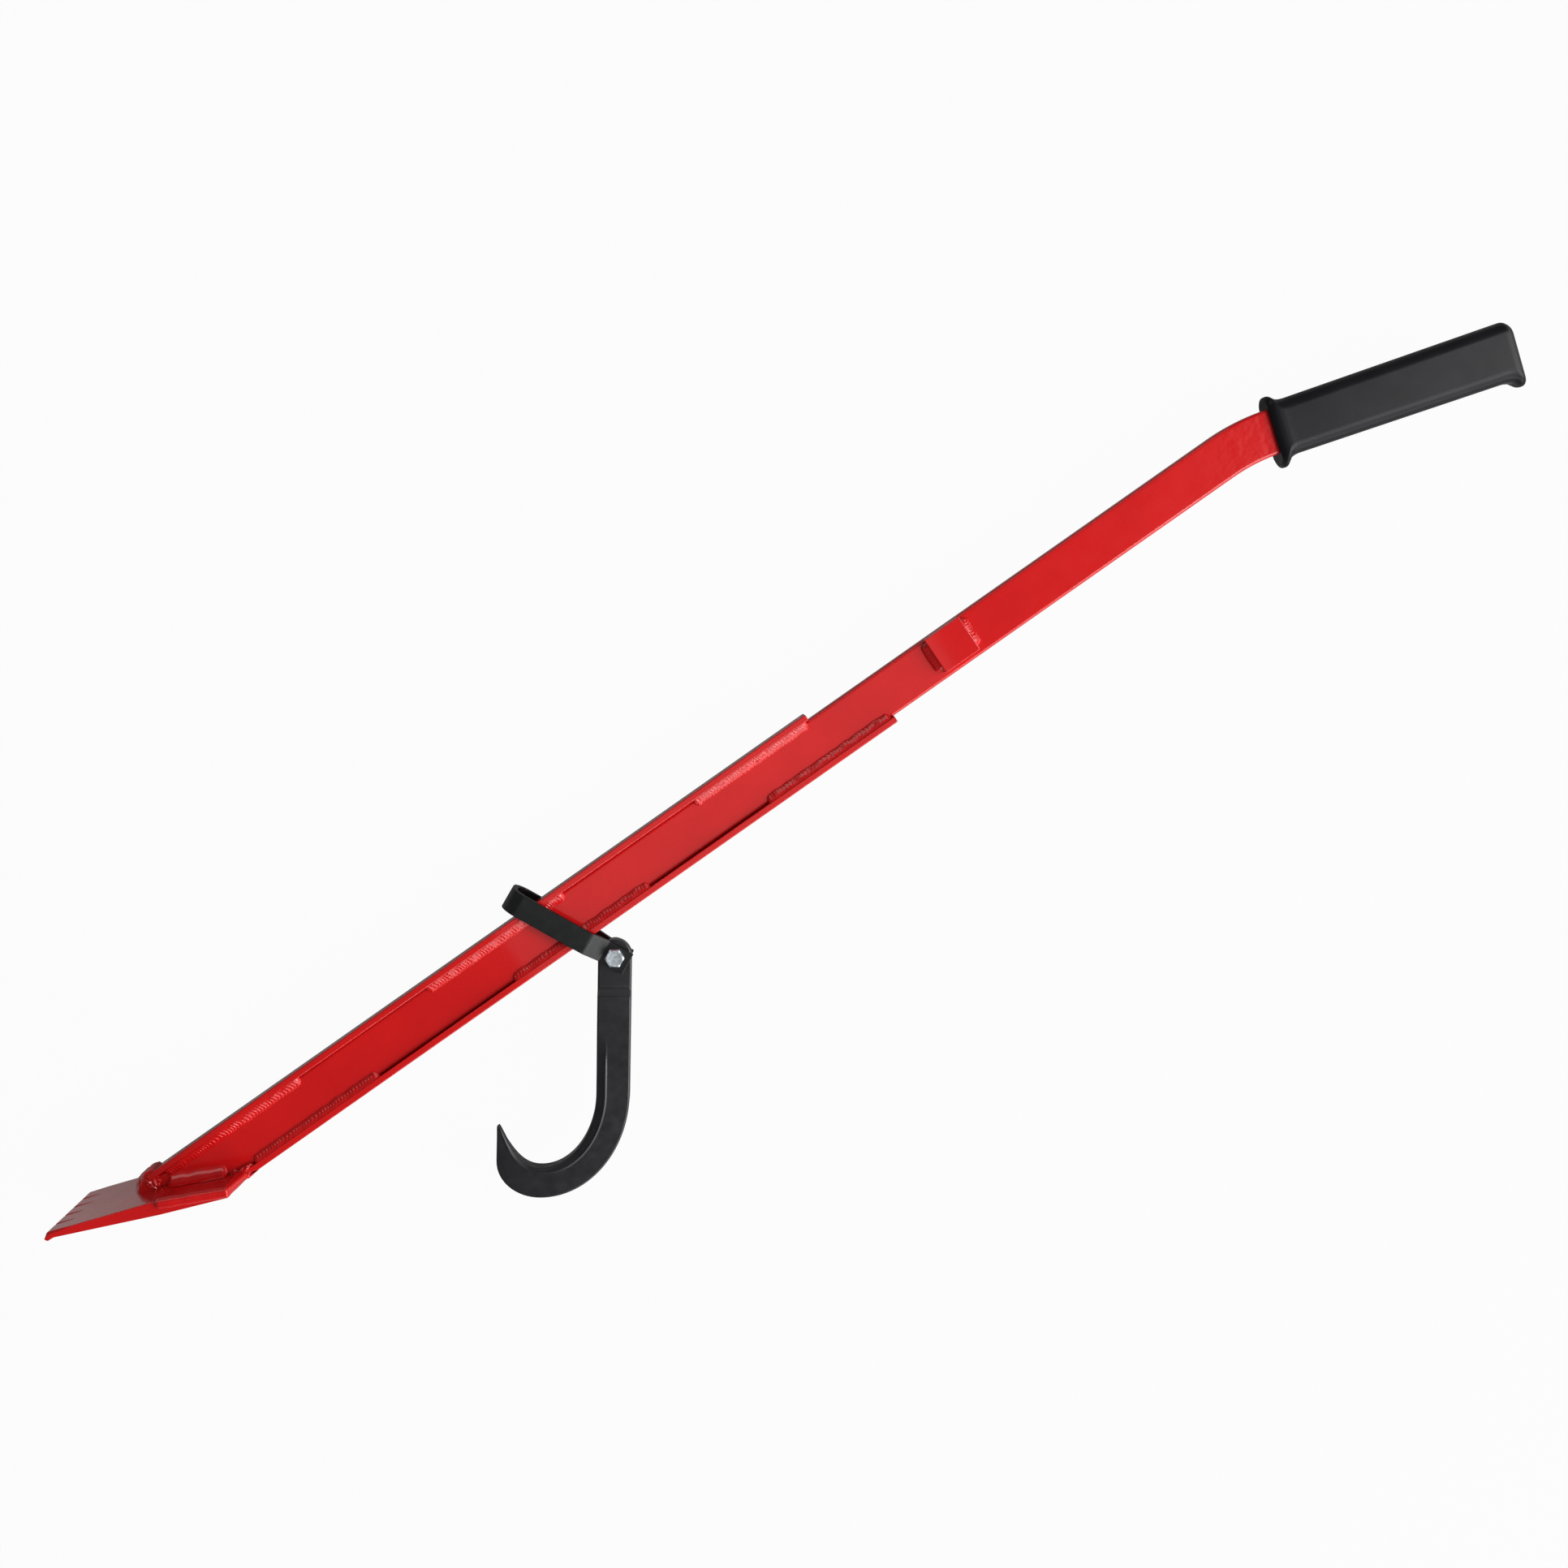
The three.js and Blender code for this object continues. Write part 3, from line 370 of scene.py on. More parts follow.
HOOK_FACET_FADE_POWER = 1.5
HOOK_TOE_FACET_SHARE = 0.25
HOOK_NARROW_SHARES = (0.4, 0.8)
HOOK_LIFT_SHARE = 0.25
HOOK_RIDGE = 0.6
HOOK_RIDGE_ONSET = 8
HOOK_RIDGE_GROWTH = (1.3, 0.1)
HOOK_CREASE = ((-1.5, 0), (-1.15, 0.1), (-0.1, 1), (0.3, 0.7))
HOOK_CREASE_END = 1
HOOK_SHARP = math.radians(28)

LEG_OUTER = HOOK_EYE_THICKNESS / 2 + BORE_CLEARANCE + STRAP_THICKNESS

# Shading, the least side of an outline in millimetres, and the least 1 + cosine at its corners
SHARP_ANGLE = math.radians(32)
LEAST_SIDE = 1e-9
LEAST_MITRE = 0.3

# Seeds: each bead and lump adds its own number to the first, so that none depends on another.
# A seam's number steps with its side, its face and its place.
SEED = 7
SEAM_SIDE_SEEDS = 20
SEAM_FACE_SEEDS = 5
FOOT_SEED = 60
STOP_SEED = 70
EDGE_SEED = 90

# Materials: the values between which most of a noise lies, the stretch of X in metres over which
# the paint turns wavy next to the grip, and the noise values at which dust begins and is full
NOISE_RANGE = (0.3, 0.7)
WAVY_PAINT_X = (0.375, 0.42)
DUST_RANGE = (0.77, 0.8)

# Studio: the floor's half width in metres, the shares of plain white in it as the camera sees it,
# as glossy paint sees it and as the paint sees it beside the blade, where the larger share is a
# painted reflection in the blade's top, and the stretch of X in metres over which that share rises;
# then the world's level as the camera sees it and as light
FLOOR_HALF = 9
FLOOR_COLOUR = "#8c8c8c"
FLOOR_ROUGHNESS = 0.9
FLOOR_WHITE = 0.96
FLOOR_WHITE_IN_MIRRORS = 0.08
PAINTED_REFLECTION_BESIDE_BLADE = 0.28
PAINTED_REFLECTION_X = (-0.57, -0.61)
WORLD_SEEN = 0.97
WORLD_LEVEL = 0.12

# Lights: name, place and aim in metres, width and height in metres, and watts
LIGHTS = (
    ("key_softbox", (2.9, -1.91, 2.9), (0, 0, 0), (3.25, 3.25), 220),
    ("side_softbox", (0.0, -1.7, 1.9), (0, 0, 0), (2.4, 0.8), 20),
    ("low_panel", (0.1, -1.8, 0.55), (0, 0, 0.04), (2.6, 1.0), 22),
    ("back_panel", (0.2, 1.9, 1.3), (0, 0, 0), (2.4, 0.7), 8),
    ("end_panel", (2.2, -0.5, 0.45), (0, 0, 0.04), (1.4, 0.7), 7),
    ("ceiling_panel", (-0.15, -0.05, 2.7), (-0.15, -0.05, 0), (1.3, 0.9), 1.8),
)


def bar_origin():
    """The middle of the bar's front end: the strips' outer faces and width give its centre."""
    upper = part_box("upper_flange")
    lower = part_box("lower_flange")
    return Vector((upper[0][0], (upper[1][1] + lower[0][1]) / 2, (upper[0][2] + upper[1][2]) / 2))


ORIGIN = bar_origin()


def add_camera():
    """The camera is turned so that straight down vanishes at PLUMB_PX and the bar rises by BAR_RISE."""
    centre = PHOTO_PX / 2
    down = Vector((PLUMB_PX[0] - centre, centre - PLUMB_PX[1], -FOCAL_PX)).normalized()
    rise = math.radians(BAR_RISE)
    along = Vector((math.cos(rise), math.sin(rise), 0))
    along = (along - down * along.dot(down)).normalized()
    across = (-down).cross(along)
    turn = Matrix((along, across, -down)).to_4x4()
    data = bpy.data.cameras.new("camera")
    data.sensor_width = SENSOR_MM
    data.lens = SENSOR_MM * FOCAL_PX / PHOTO_PX
    data.clip_end = CAMERA_CLIP_END
    camera = bpy.data.objects.new("camera", data)
    bpy.context.scene.collection.objects.link(camera)
    camera.matrix_world = Matrix.Translation(ORIGIN + Vector(CAMERA_MM) * MM) @ turn
    bpy.context.scene.camera = camera


# Shape helpers

def stitch_faces(rows, count, paired):
    """Quads between closed rings of equal counts, with each end closed by one flat face.

    Where paired is true, the ring runs out along one side and back along the other, and quads join
    the points that face each other.
    """
    row = np.arange(rows - 1)[:, None] * count
    here = np.arange(count)[None, :]
    after = (here + 1) % count
    quads = np.stack((row + here, row + after, row + count + after, row + count + here), axis=-1)
    end = np.arange(count)[None, :]
    if paired:
        k = np.arange(count // 2 - 1)[:, None]
        end = np.concatenate((k, k + 1, count - 2 - k, count - 1 - k), axis=1)
    return quads.reshape(-1, 4).tolist() + end[:, ::-1].tolist() + (end + (rows - 1) * count).tolist()


def faces_outward(rings):
    """True if the skin over the rings, as stitch_faces turns it, encloses a positive volume."""
    a, c = rings[:-1], rings[1:]
    b, d = np.roll(a, -1, axis=1), np.roll(c, -1, axis=1)
    volume = np.einsum("ijk,ijk->", a, np.cross(b, d)) + np.einsum("ijk,ijk->", a, np.cross(d, c))
    for ring, side in ((rings[0], -1), (rings[-1], 1)):
        hub = ring.mean(axis=0)
        volume += side * np.einsum("k,jk->", hub, np.cross(ring, np.roll(ring, -1, axis=0)))
    return volume > 0


def piece(name, rings, body, slot, stands_for=(), sharp=SHARP_ANGLE, paired=False):
    """A closed, smooth-shaded piece over rings of points in millimetres in the bar's frame.

    Each point is kept inside the box of the whole CAD model.
    """
    rings = np.asarray(rings, dtype=float)
    if not faces_outward(rings):
        rings = rings[:, ::-1]
    rows, count, _ = rings.shape
    points = np.clip(np.array(ORIGIN) + rings.reshape(-1, 3) * MM, *CAD_BOX)
    mesh = bpy.data.meshes.new(name)
    mesh.from_pydata(points.tolist(), [], stitch_faces(rows, count, paired))
    mesh.shade_smooth()
    mesh.set_sharp_from_angle(angle=sharp)
    mesh.materials.append(MATERIALS[slot])
    shape = bpy.data.objects.new(name, mesh)
    bpy.context.scene.collection.objects.link(shape)
    even = shape.modifiers.new("even_shading", "WEIGHTED_NORMAL")
    even.keep_sharp = True
    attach(shape, body)
    if stands_for:
        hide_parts(*stands_for)


def red_piece(name, rings, *stands_for, sharp=SHARP_ANGLE):
    """A red painted piece of the lever, which stands for the named nodes."""
    piece(name, rings, "lever", "red_paint", stands_for, sharp)


def rounded(corners, steps=6):
    """A closed outline from corners (x, y, radius): each radius becomes an arc that touches both sides."""
    xy = np.array([corner[:2] for corner in corners], dtype=float)
    outline = []
    for i, (x, y, radius) in enumerate(corners):
        here = np.array((x, y))
        if radius == 0:
            outline.append(here[None])
            continue
        back, ahead = xy[i - 1] - here, xy[(i + 1) % len(xy)] - here
        back, ahead = back / np.hypot(*back), ahead / np.hypot(*ahead)
        half = math.acos(np.clip(back @ ahead, -1, 1)) / 2
        middle = here + (back + ahead) / np.hypot(*(back + ahead)) * radius / math.sin(half)
        touch = radius / math.tan(half)
        first, last = here + back * touch - middle, here + ahead * touch - middle
        start = math.atan2(first[1], first[0])
        sweep = (math.atan2(last[1], last[0]) - start + math.pi) % (2 * math.pi) - math.pi
        angle = start + sweep * np.linspace(0, 1, steps + 1)
        outline.append(middle + radius * np.stack((np.cos(angle), np.sin(angle)), axis=-1))
    return np.concatenate(outline)


def inward(outline):
    """The mitred inward normals of a closed outline: both sides move in by the same distance."""
    side = np.roll(outline, -1, axis=0) - outline
    side /= np.maximum(np.hypot(side[:, 0], side[:, 1])[:, None], LEAST_SIDE)
    normal = np.stack((-side[:, 1], side[:, 0]), axis=-1)
    before = np.roll(normal, 1, axis=0)
    mitre = (normal + before) / np.maximum(1 + np.sum(normal * before, axis=1), LEAST_MITRE)[:, None]
    x, y = outline.T
    area = np.sum(x * np.roll(y, -1) - np.roll(x, -1) * y)
    return mitre * np.sign(area)


def divided(outline, longest):
    """The closed outline with points added so that no side is longer than a given length."""
    side = np.roll(outline, -1, axis=0) - outline
    count = np.maximum(1, np.ceil(np.hypot(side[:, 0], side[:, 1]) / longest)).astype(int)
    i = np.repeat(np.arange(len(outline)), count)
    share = (np.arange(len(i)) - np.repeat(np.cumsum(count) - count, count)) / count[i]
    return outline[i] + side[i] * share[:, None]


def slab(outline, half, radius, spans=1, steps=4):
    """Rings of a plate: the outline is repeated across it and drawn in by radius (1 - cos) at the rims."""
    turn = np.linspace(0, math.pi / 2, steps + 1)[::-1]
    rim_inset = radius * (1 - np.cos(turn))
    rim_across = half - radius + radius * np.sin(turn)
    between = np.linspace(-1, 1, spans + 1)[1:-1] * (half - radius)
    across = np.concatenate((-rim_across, between, rim_across[::-1]))
    inset = np.concatenate((rim_inset, np.zeros(len(between)), rim_inset[::-1]))
    flat = outline[None] + inward(outline)[None] * inset[:, None, None]
    return np.concatenate((flat, np.broadcast_to(across[:, None, None], flat.shape[:2] + (1,))), axis=-1)


def into_frame(local, x_axis, y_axis, z_axis, origin=(0, 0, 0)):
    """Local points turned onto three axes of the bar's frame and moved to an origin."""
    return local @ np.array((x_axis, y_axis, z_axis), dtype=float) + np.array(origin, dtype=float)


def in_plane(angle):
    """Unit vector in the plane of the bar, turned from X towards Y."""
    return np.array((math.cos(angle), math.sin(angle), 0))


def onto_blade(rings, slope):
    """Rings from the blade's heel, with X down one of its slopes and Y off it, put in the bar's frame."""
    return into_frame(rings, in_plane(-slope), in_plane(math.pi / 2 - slope), (0, 0, 1), (*HEEL, 0))


def smooth_curve(at, along, value):
    """Values between given points by cubic steps whose slopes come from the neighbouring points."""
    along, value = np.array(along, dtype=float), np.array(value, dtype=float)
    slope = np.gradient(value, along)
    at = np.clip(at, along[0], along[-1])
    i = np.clip(np.searchsorted(along, at) - 1, 0, len(along) - 2)
    width = along[i + 1] - along[i]
    t = (at - along[i]) / width
    rise = value[i + 1] - value[i]
    start, end = slope[i] * width, slope[i + 1] * width
    return value[i] + start * t + (3 * rise - 2 * start - end) * t ** 2 + (start + end - 2 * rise) * t ** 3


def wander(along, wave, random):
    """A slow unevenness between about -1 and 1: a few sine waves of nearby lengths, at seeded phases."""
    length = wave * random.uniform(*WANDER_SPREAD_SHARES, WANDER_WAVES)[:, None]
    phase = random.uniform(0, 2 * math.pi, WANDER_WAVES)[:, None]
    return np.sin(2 * math.pi * along[None] / length + phase).mean(axis=0) * WANDER_GAIN


# The bar, its strips and the blade

def blade_top(y):
    """X where the blade's top, plus the seat gap, meets a level of the bar."""
    front = HEEL[0] + (HEEL[1] - y) / math.tan(BLADE_SLOPE)
    rear = HEEL[0] + (HEEL[1] - y) / math.tan(REAR_SLOPE)
    return np.where(y > HEEL[1], front, rear) + SEAT_GAP / math.sin(REAR_SLOPE)


def main_bar():
    """A rounded oblong section pushed along a straight, an arc and the straight inside the grip."""
    quarters = ((-1, -1), (1, -1), (1, 1), (-1, 1))
    corners = [(y * BAR_HALF, z * BAR_HALF_THICKNESS, BAR_EDGE_RADIUS) for y, z in quarters]
    section = divided(rounded(corners, steps=7), BAR_SECTION_STEP)
    y, z = section.T
    start = np.maximum(blade_top(y), 0)
    share = np.array(BAR_STATION_SHARES)[:, None]
    straight = np.stack((start + (BAR_STRAIGHT - start) * share, y + 0 * share, z + 0 * share), axis=-1)
    turn = np.linspace(0, BEND_ANGLE, BEND_STATIONS)[1:, None]
    arc = np.stack((
        BAR_STRAIGHT + (BEND_RADIUS + y) * np.sin(turn),
        (BEND_RADIUS + y) * np.cos(turn) - BEND_RADIUS,
        z + 0 * turn,
    ), axis=-1)
    end = arc[-1] + in_plane(-BEND_ANGLE) * (GRIP_LENGTH / 2)
    red_piece("bar", np.concatenate((straight, arc, end[None])), "main_bar")


def strip(name, side, corners, node):
    """A flat strip along one narrow side of the bar, from its outline in the bar's plane."""
    outline = rounded([(x, side * y, radius) for x, y, radius in corners], steps=3)
    red_piece(name, slab(outline, FLANGE_HALF_WIDTH, FLANGE_EDGE_RADIUS, spans=2), node)


def strips():
    """The upper strip starts square at the bar's front end, the lower one on the blade's rear slope."""
    soft = FLANGE_EDGE_RADIUS
    lower_start = float(blade_top(-BAR_HALF))
    lower_foot = float(blade_top(-BEAM_HALF))
    strip("strip_upper", 1, [
        (0, BAR_HALF, 0), (UPPER_FLANGE_END, BAR_HALF, 0), (UPPER_FLANGE_END, BEAM_HALF, soft),
        (0, BEAM_HALF, soft),
    ], "upper_flange")
    strip("strip_lower", -1, [
        (lower_start, BAR_HALF, 0), (LOWER_FLANGE_END, BAR_HALF, 0), (LOWER_FLANGE_END, BEAM_HALF, soft),
        (lower_foot, BEAM_HALF, 0),
    ], "lower_flange")


def blade_outline():
    """Side view of the blade with X back from the heel and Y up: top, rear, underside and rounded nose."""
    bend = REAR_SLOPE - BLADE_SLOPE
    rear = np.array((math.cos(bend), -math.sin(bend))) * REAR_LENGTH
    under = rear + np.array((-math.sin(bend), -math.cos(bend))) * REAR_THICKNESS
    nose = -BLADE_LENGTH
    lip = TIP_THICKNESS + TIP_LIP_DROP
    corners = [
        (0, 0, HEEL_TOP_RADIUS),
        (*rear, REAR_CORNER_RADIUS),
        (*under, REAR_CORNER_RADIUS),
        (HEEL_SETBACK, -HEEL_THICKNESS, HEEL_UNDER_RADIUS),
        (nose + TIP_LIP_LENGTH * NOSE_UNDER_SHARE, -TIP_THICKNESS, NOSE_RADII[0]),
        (nose + TIP_LIP_LENGTH * NOSE_LIP_SHARE, -lip, NOSE_RADII[1]),
        (nose, -lip * NOSE_FRONT_SHARE, NOSE_RADII[2]),
        (nose + TIP_LIP_LENGTH * NOSE_TOP_SHARE, 0, NOSE_RADII[3]),
    ]
    return rounded(corners)


def add_top_points(outline):
    """The long straight of the top near the tip, split into even steps so that the grooves can bend it."""
    start = np.argmin(np.where(outline[:, 1] > -TOP_SLACK, outline[:, 0], np.inf))
    begin = outline[start]
    reach = np.array((begin[0] + GROOVE_LENGTH + GROOVE_RUNOUT, 0)) - begin
    steps = begin + reach * (np.arange(1, GROOVE_STATIONS + 1) / GROOVE_STATIONS)[:, None]
    return np.concatenate((outline[:start + 1], steps, outline[start + 1:]))


def cut_grooves(rings):
    """V grooves with soft rims that run out along the top, and notch the nose.

    A groove's fall goes from its depth in the middle to nothing at its half width, and a power a
    little over one rounds its rims.
    """
    x, y, z = rings[..., 0], rings[..., 1], rings[..., 2]
    run = np.clip(1 - (x + BLADE_LENGTH) / GROOVE_LENGTH, 0, 1)
    depth = GROOVE_DEPTH * run ** GROOVE_DEPTH_POWER
    pitch = 2 * BLADE_HALF_WIDTH / GROOVE_SPACES
    off = np.abs((z + BLADE_HALF_WIDTH + pitch / 2) % pitch - pitch / 2)
    wide = GROOVE_HALF_WIDTH * run ** GROOVE_WIDTH_POWER + GROOVE_LEAST
    fall = depth * np.clip(1 - off / wide, 0, 1)
    level = np.where(depth > 0, np.maximum(depth, GROOVE_LEAST) ** -GROOVE_WALL_POWER, 1)
    soft = fall ** (1 + GROOVE_WALL_POWER) * level
    top = np.clip(1 + y / (TIP_THICKNESS * GROOVE_REACH_SHARE), 0, 1)
    notch = np.clip(1 - (x + BLADE_LENGTH) / NOTCH_LENGTH, 0, 1)
    rings[..., 1] = y - soft * top
    rings[..., 0] = x + soft * NOTCH_SHARE * notch * top
    return rings


def blade():
    """The blade's side view repeated across its width, grooved, and turned onto its slope."""
    outline = add_top_points(blade_outline())
    rings = cut_grooves(slab(outline, BLADE_HALF_WIDTH, BLADE_EDGE_RADIUS, BLADE_SPANS))
    red_piece("wedge_blade", onto_blade(rings, BLADE_SLOPE), "blade", sharp=BLADE_SHARP)


# Weld beads

def ripple(along, share, random, pitch=RIPPLE_PITCH):
    """Fish scales: each rises slowly and falls in a short step, bowed back towards the bead's sides."""
    drift = RIPPLE_DRIFT_SHARE * wander(along, RIPPLE_DRIFT_PITCHES * pitch, random)
    bow = RIPPLE_BOW * (2 * share - 1) ** 2
    phase = ((along[:, None] + bow[None, :]) / pitch + drift[:, None]) % 1
    step = np.clip((1 - phase) / RIPPLE_STEP_SHARE, 0, 1)
    level, change = RIPPLE_STRENGTH
    strength = level + change * wander(along, RIPPLE_STRENGTH_WAVE, random)[:, None]
    return (step * phase - RIPPLE_MEAN) * strength * (np.sin(math.pi * share) ** 0.5)[None, :]


def bead(length, legs, crown, seed, scales=RIPPLE_HEIGHT):
    """Rings of a fillet weld: X along it, Y up the first wall and Z out over the second.

    The face runs from one toe to the other, crowned by a parabola and roughened by the ripple, and
    an elliptical share draws the section in at both ends.
    """
    random = np.random.default_rng(SEED + seed)
    along = np.linspace(0, length, int(length / BEAD_STEP) + 2)
    inside = np.clip(np.minimum(along, length - along) / BEAD_TAPER, 0, 1)
    size = np.sqrt(np.maximum(1 - (1 - inside) ** 2, BEAD_END_LEAST))[:, None]
    share = np.linspace(0, 1, BEAD_POINTS)
    up_leg = legs[0] * (1 + LEG_UNEVEN_SHARES[0] * wander(along, LEG_WAVES[0], random))[:, None]
    out_leg = legs[1] * (1 + LEG_UNEVEN_SHARES[1] * wander(along, LEG_WAVES[1], random))[:, None]
    raised = crown * 4 * share * (1 - share) + scales * ripple(along, share, random)
    up = (up_leg * (1 - share) + raised * BEAD_RISE_SHARE) * size
    out = (out_leg * share + raised * BEAD_RISE_SHARE) * size
    face = np.stack((along[:, None] + 0 * up, np.maximum(up, 0), np.maximum(out, 0)), axis=-1)
    root = np.stack((along, 0 * along, 0 * along), axis=-1)[:, None]
    return np.concatenate((face, root), axis=1)


def seam_beads():
    """Stitches along both strips, on both faces of the bar."""
    lower_start = float(blade_top(-BAR_HALF)) - SEAT_GAP / math.sin(REAR_SLOPE)
    seams = (
        ("upper", 1, UPPER_STITCH_SHARES, 0, UPPER_FLANGE_END),
        ("lower", -1, LOWER_STITCH_SHARES, lower_start, LOWER_FLANGE_END),
    )
    for label, side, shares, first, last in seams:
        for word, face in FACES:
            for i, (start, end) in enumerate(shares):
                seed = SEAM_SIDE_SEEDS * (side + 1) + SEAM_FACE_SEEDS * (face + 1) + i
                rings = bead((last - first) * (end - start), STITCH_LEGS, STITCH_CROWN, seed)
                rings = rings * (1, -side, face)
                rings += (first + (last - first) * start, side * BAR_HALF, face * BAR_HALF_THICKNESS)
                place = f"{label}_{word}_{i + 1}"
                red_piece(f"seam_{place}", rings, f"seam_weld_{place}")


def foot_beads():
    """Fillets between the bar's faces and the blade's rear part."""
    for word, face in FACES:
        rings = bead(FOOT_END - FOOT_START, FOOT_LEGS, FOOT_CROWN, FOOT_SEED + face, FOOT_RIPPLE_HEIGHT)
        rings = rings * (1, 1, face) + (FOOT_START, SEAT_GAP, face * BAR_HALF_THICKNESS)
        red_piece(f"foot_{word}", onto_blade(rings, REAR_SLOPE), f"foot_weld_{word}")


def stop_blocks():
    """A block on each face of the bar, with a bead down each end. The far block's top is set lower."""
    top = BAR_HALF - STOP_TOP_SETBACK
    low = top - STOP_HEIGHT
    start, end = STOP_START, STOP_START + STOP_LENGTH
    length = STOP_HEIGHT - 2 * STOP_WELD_MARGIN
    for word, face in FACES:
        upper = top if face > 0 else top - STOP_FAR_DROP
        places = ((start, low), (end, low), (end, upper), (start, upper))
        outline = rounded([(x, y, STOP_CORNER_RADIUS) for x, y in places], steps=3)
        rings = slab(outline, STOP_THICKNESS / 2, STOP_EDGE_RADIUS)
        rings = rings + (0, 0, face * (BAR_HALF_THICKNESS + STOP_THICKNESS / 2))
        red_piece(f"stop_{word}", rings, f"stop_block_{word}", sharp=STOP_SHARP)
        for place, side, edge in (("front", -1, start), ("rear", 1, end)):
            local = bead(length, STOP_LEGS, STOP_CROWN, STOP_SEED + 2 * face + side)
            corner = (edge, top - STOP_WELD_MARGIN, face * BAR_HALF_THICKNESS)
            rings = into_frame(local, (0, -1, 0), (side, 0, 0), (0, 0, face), corner)
            red_piece(f"stop_bead_{word}_{place}", rings, f"stop_weld_{word}_{place}")


def edge_bead():
    """A thick bead with three ridges over the blade's side edge and round its rear corner to the strip.

    Stations run along the side, turn the corner on an arc and go in along the rear edge. At each,
    the section's offsets go outward, wider by a share that grows towards the strip.
    """
    random = np.random.default_rng(SEED + EDGE_SEED)
    inner = FLANGE_HALF_WIDTH + SEAT_GAP
    side = np.arange(EDGE_START, REAR_LENGTH - EDGE_TURN_MARGIN, EDGE_STATION)
    turn = np.linspace(0, math.pi / 2, EDGE_TURN_STATIONS)
    rear = np.arange(BLADE_HALF_WIDTH - EDGE_TURN_MARGIN, inner, -EDGE_STATION)
    x = np.concatenate((side, np.full(len(turn) + len(rear), REAR_LENGTH)))
    z = np.concatenate((np.full(len(side) + len(turn), BLADE_HALF_WIDTH), rear))
    angle = np.concatenate((0 * side, turn, np.full(len(rear), math.pi / 2)))
    to_strip = np.clip((BLADE_HALF_WIDTH - z) / (BLADE_HALF_WIDTH - inner), 0, 1)
    wide = EDGE_CORNER_SHARE + (EDGE_REAR_SHARE - EDGE_CORNER_SHARE) * to_strip
    run = np.hypot(np.diff(x + wide * EDGE_BULGE * np.sin(angle)), np.diff(z)) + EDGE_TURN_RUN
    along = np.concatenate(((0,), np.cumsum(run)))
    start = np.sqrt(np.maximum(1 - (1 - np.clip(along / BEAD_TAPER, 0, 1)) ** 2, EDGE_END_LEAST))
    share = np.linspace(0, 1, EDGE_POINTS)
    arc = np.radians(EDGE_ARC[0] + (EDGE_ARC[1] - EDGE_ARC[0]) * share)
    wave = np.abs(np.sin(math.pi * EDGE_RIDGES * share)) ** EDGE_RIDGE_POWER
    ridge = EDGE_RIDGE_HEIGHT * (wave - EDGE_RIDGE_MEAN)
    scales = EDGE_RIPPLE_SHARE * ripple(along, share, random, EDGE_RIPPLE_PITCH)
    thick = 1 + EDGE_UNEVEN_SHARE * wander(along, EDGE_UNEVEN_WAVE, random)
    swell = (start * thick)[:, None]
    offset = EDGE_CENTRE[0] + ((EDGE_RADII[0] + ridge) * np.cos(arc) + scales) * swell
    height = EDGE_CENTRE[1] + ((EDGE_RADII[1] + ridge) * np.sin(arc) + scales) * swell
    root = np.full((len(x), len(EDGE_ROOT_HEIGHTS)), EDGE_ROOT_OFFSET)
    offset = np.concatenate((np.minimum(offset, EDGE_BULGE - EDGE_BULGE_GAP), root), axis=1)
    height = np.concatenate((height, np.tile(EDGE_ROOT_HEIGHTS, (len(x), 1))), axis=1)
    out_x = np.sin(angle) * wide
    rings = np.stack((
        x[:, None] + offset * out_x[:, None],
        height,
        z[:, None] + offset * np.cos(angle)[:, None],
    ), axis=-1)
    for word, face in FACES:
        red_piece(f"edge_bead_{word}", onto_blade(rings * (1, 1, face), REAR_SLOPE), f"edge_weld_{word}")


def front_bead():
    """The weld up the bar's front end: one profile from the strip's top down to the blade.

    Sections across the bar repeat the profile, which shrinks towards both sides, and slow sines
    make its skin uneven. Over the strip it shrinks down to the strip's top, and in front of the
    bar towards the corner between the bar and the blade.
    """
    top = BEAM_HALF
    fall = math.tan(BLADE_SLOPE)
    corner = np.array((0, HEEL[1] - fall * (0 - HEEL[0])))
    points = [(x, top + rise) for x, rise in FRONT_OVER_STRIP]
    points += [(x, HEEL[1] - fall * (x - HEEL[0]) + rise) for x, rise in FRONT_OVER_BLADE]
    points = np.array(points)
    at = np.linspace(0, 1, FRONT_POINTS)
    knots = np.linspace(0, 1, len(points))
    profile = np.stack([smooth_curve(at, knots, points[:, k]) for k in (0, 1)], axis=-1)
    far_end, near_end = FRONT_FAR_SETBACK - FLANGE_HALF_WIDTH, FLANGE_HALF_WIDTH - FRONT_NEAR_SETBACK
    z = np.linspace(far_end, near_end, FRONT_SECTIONS)
    near, far = np.sqrt(1 - (z / FRONT_NEAR_REACH) ** 2), np.sqrt(1 - (z / FRONT_FAR_REACH) ** 4)
    size = np.where(z > 0, near, far)[:, None]
    over = top - FRONT_LAP + (profile[None, :, 1] - top + FRONT_LAP) * size
    lap = np.stack((profile[None, :, 0] + 0 * size, over), axis=-1)
    ramp = corner + (profile[None] - corner) * size[..., None]
    front = np.clip(-profile[:, 0] / FRONT_BLEND_LENGTH, 0, 1)[None, :, None]
    flat = lap * (1 - front) + ramp * front
    rough = 0
    for high, wave, turns in FRONT_ROUGHNESS:
        rough = rough + high * np.sin(2 * math.pi * (z[:, None] / wave + at * turns))
    flat[..., 1] += rough * np.sin(math.pi * at)
    root = np.tile(FRONT_ROOT, (len(z), 1, 1)).astype(float)
    flat = np.concatenate((flat, root), axis=1)
    rings = np.concatenate((flat, np.broadcast_to(z[:, None, None], flat.shape[:2] + (1,))), axis=-1)
    red_piece("front_bead", rings, "foot_weld_front")


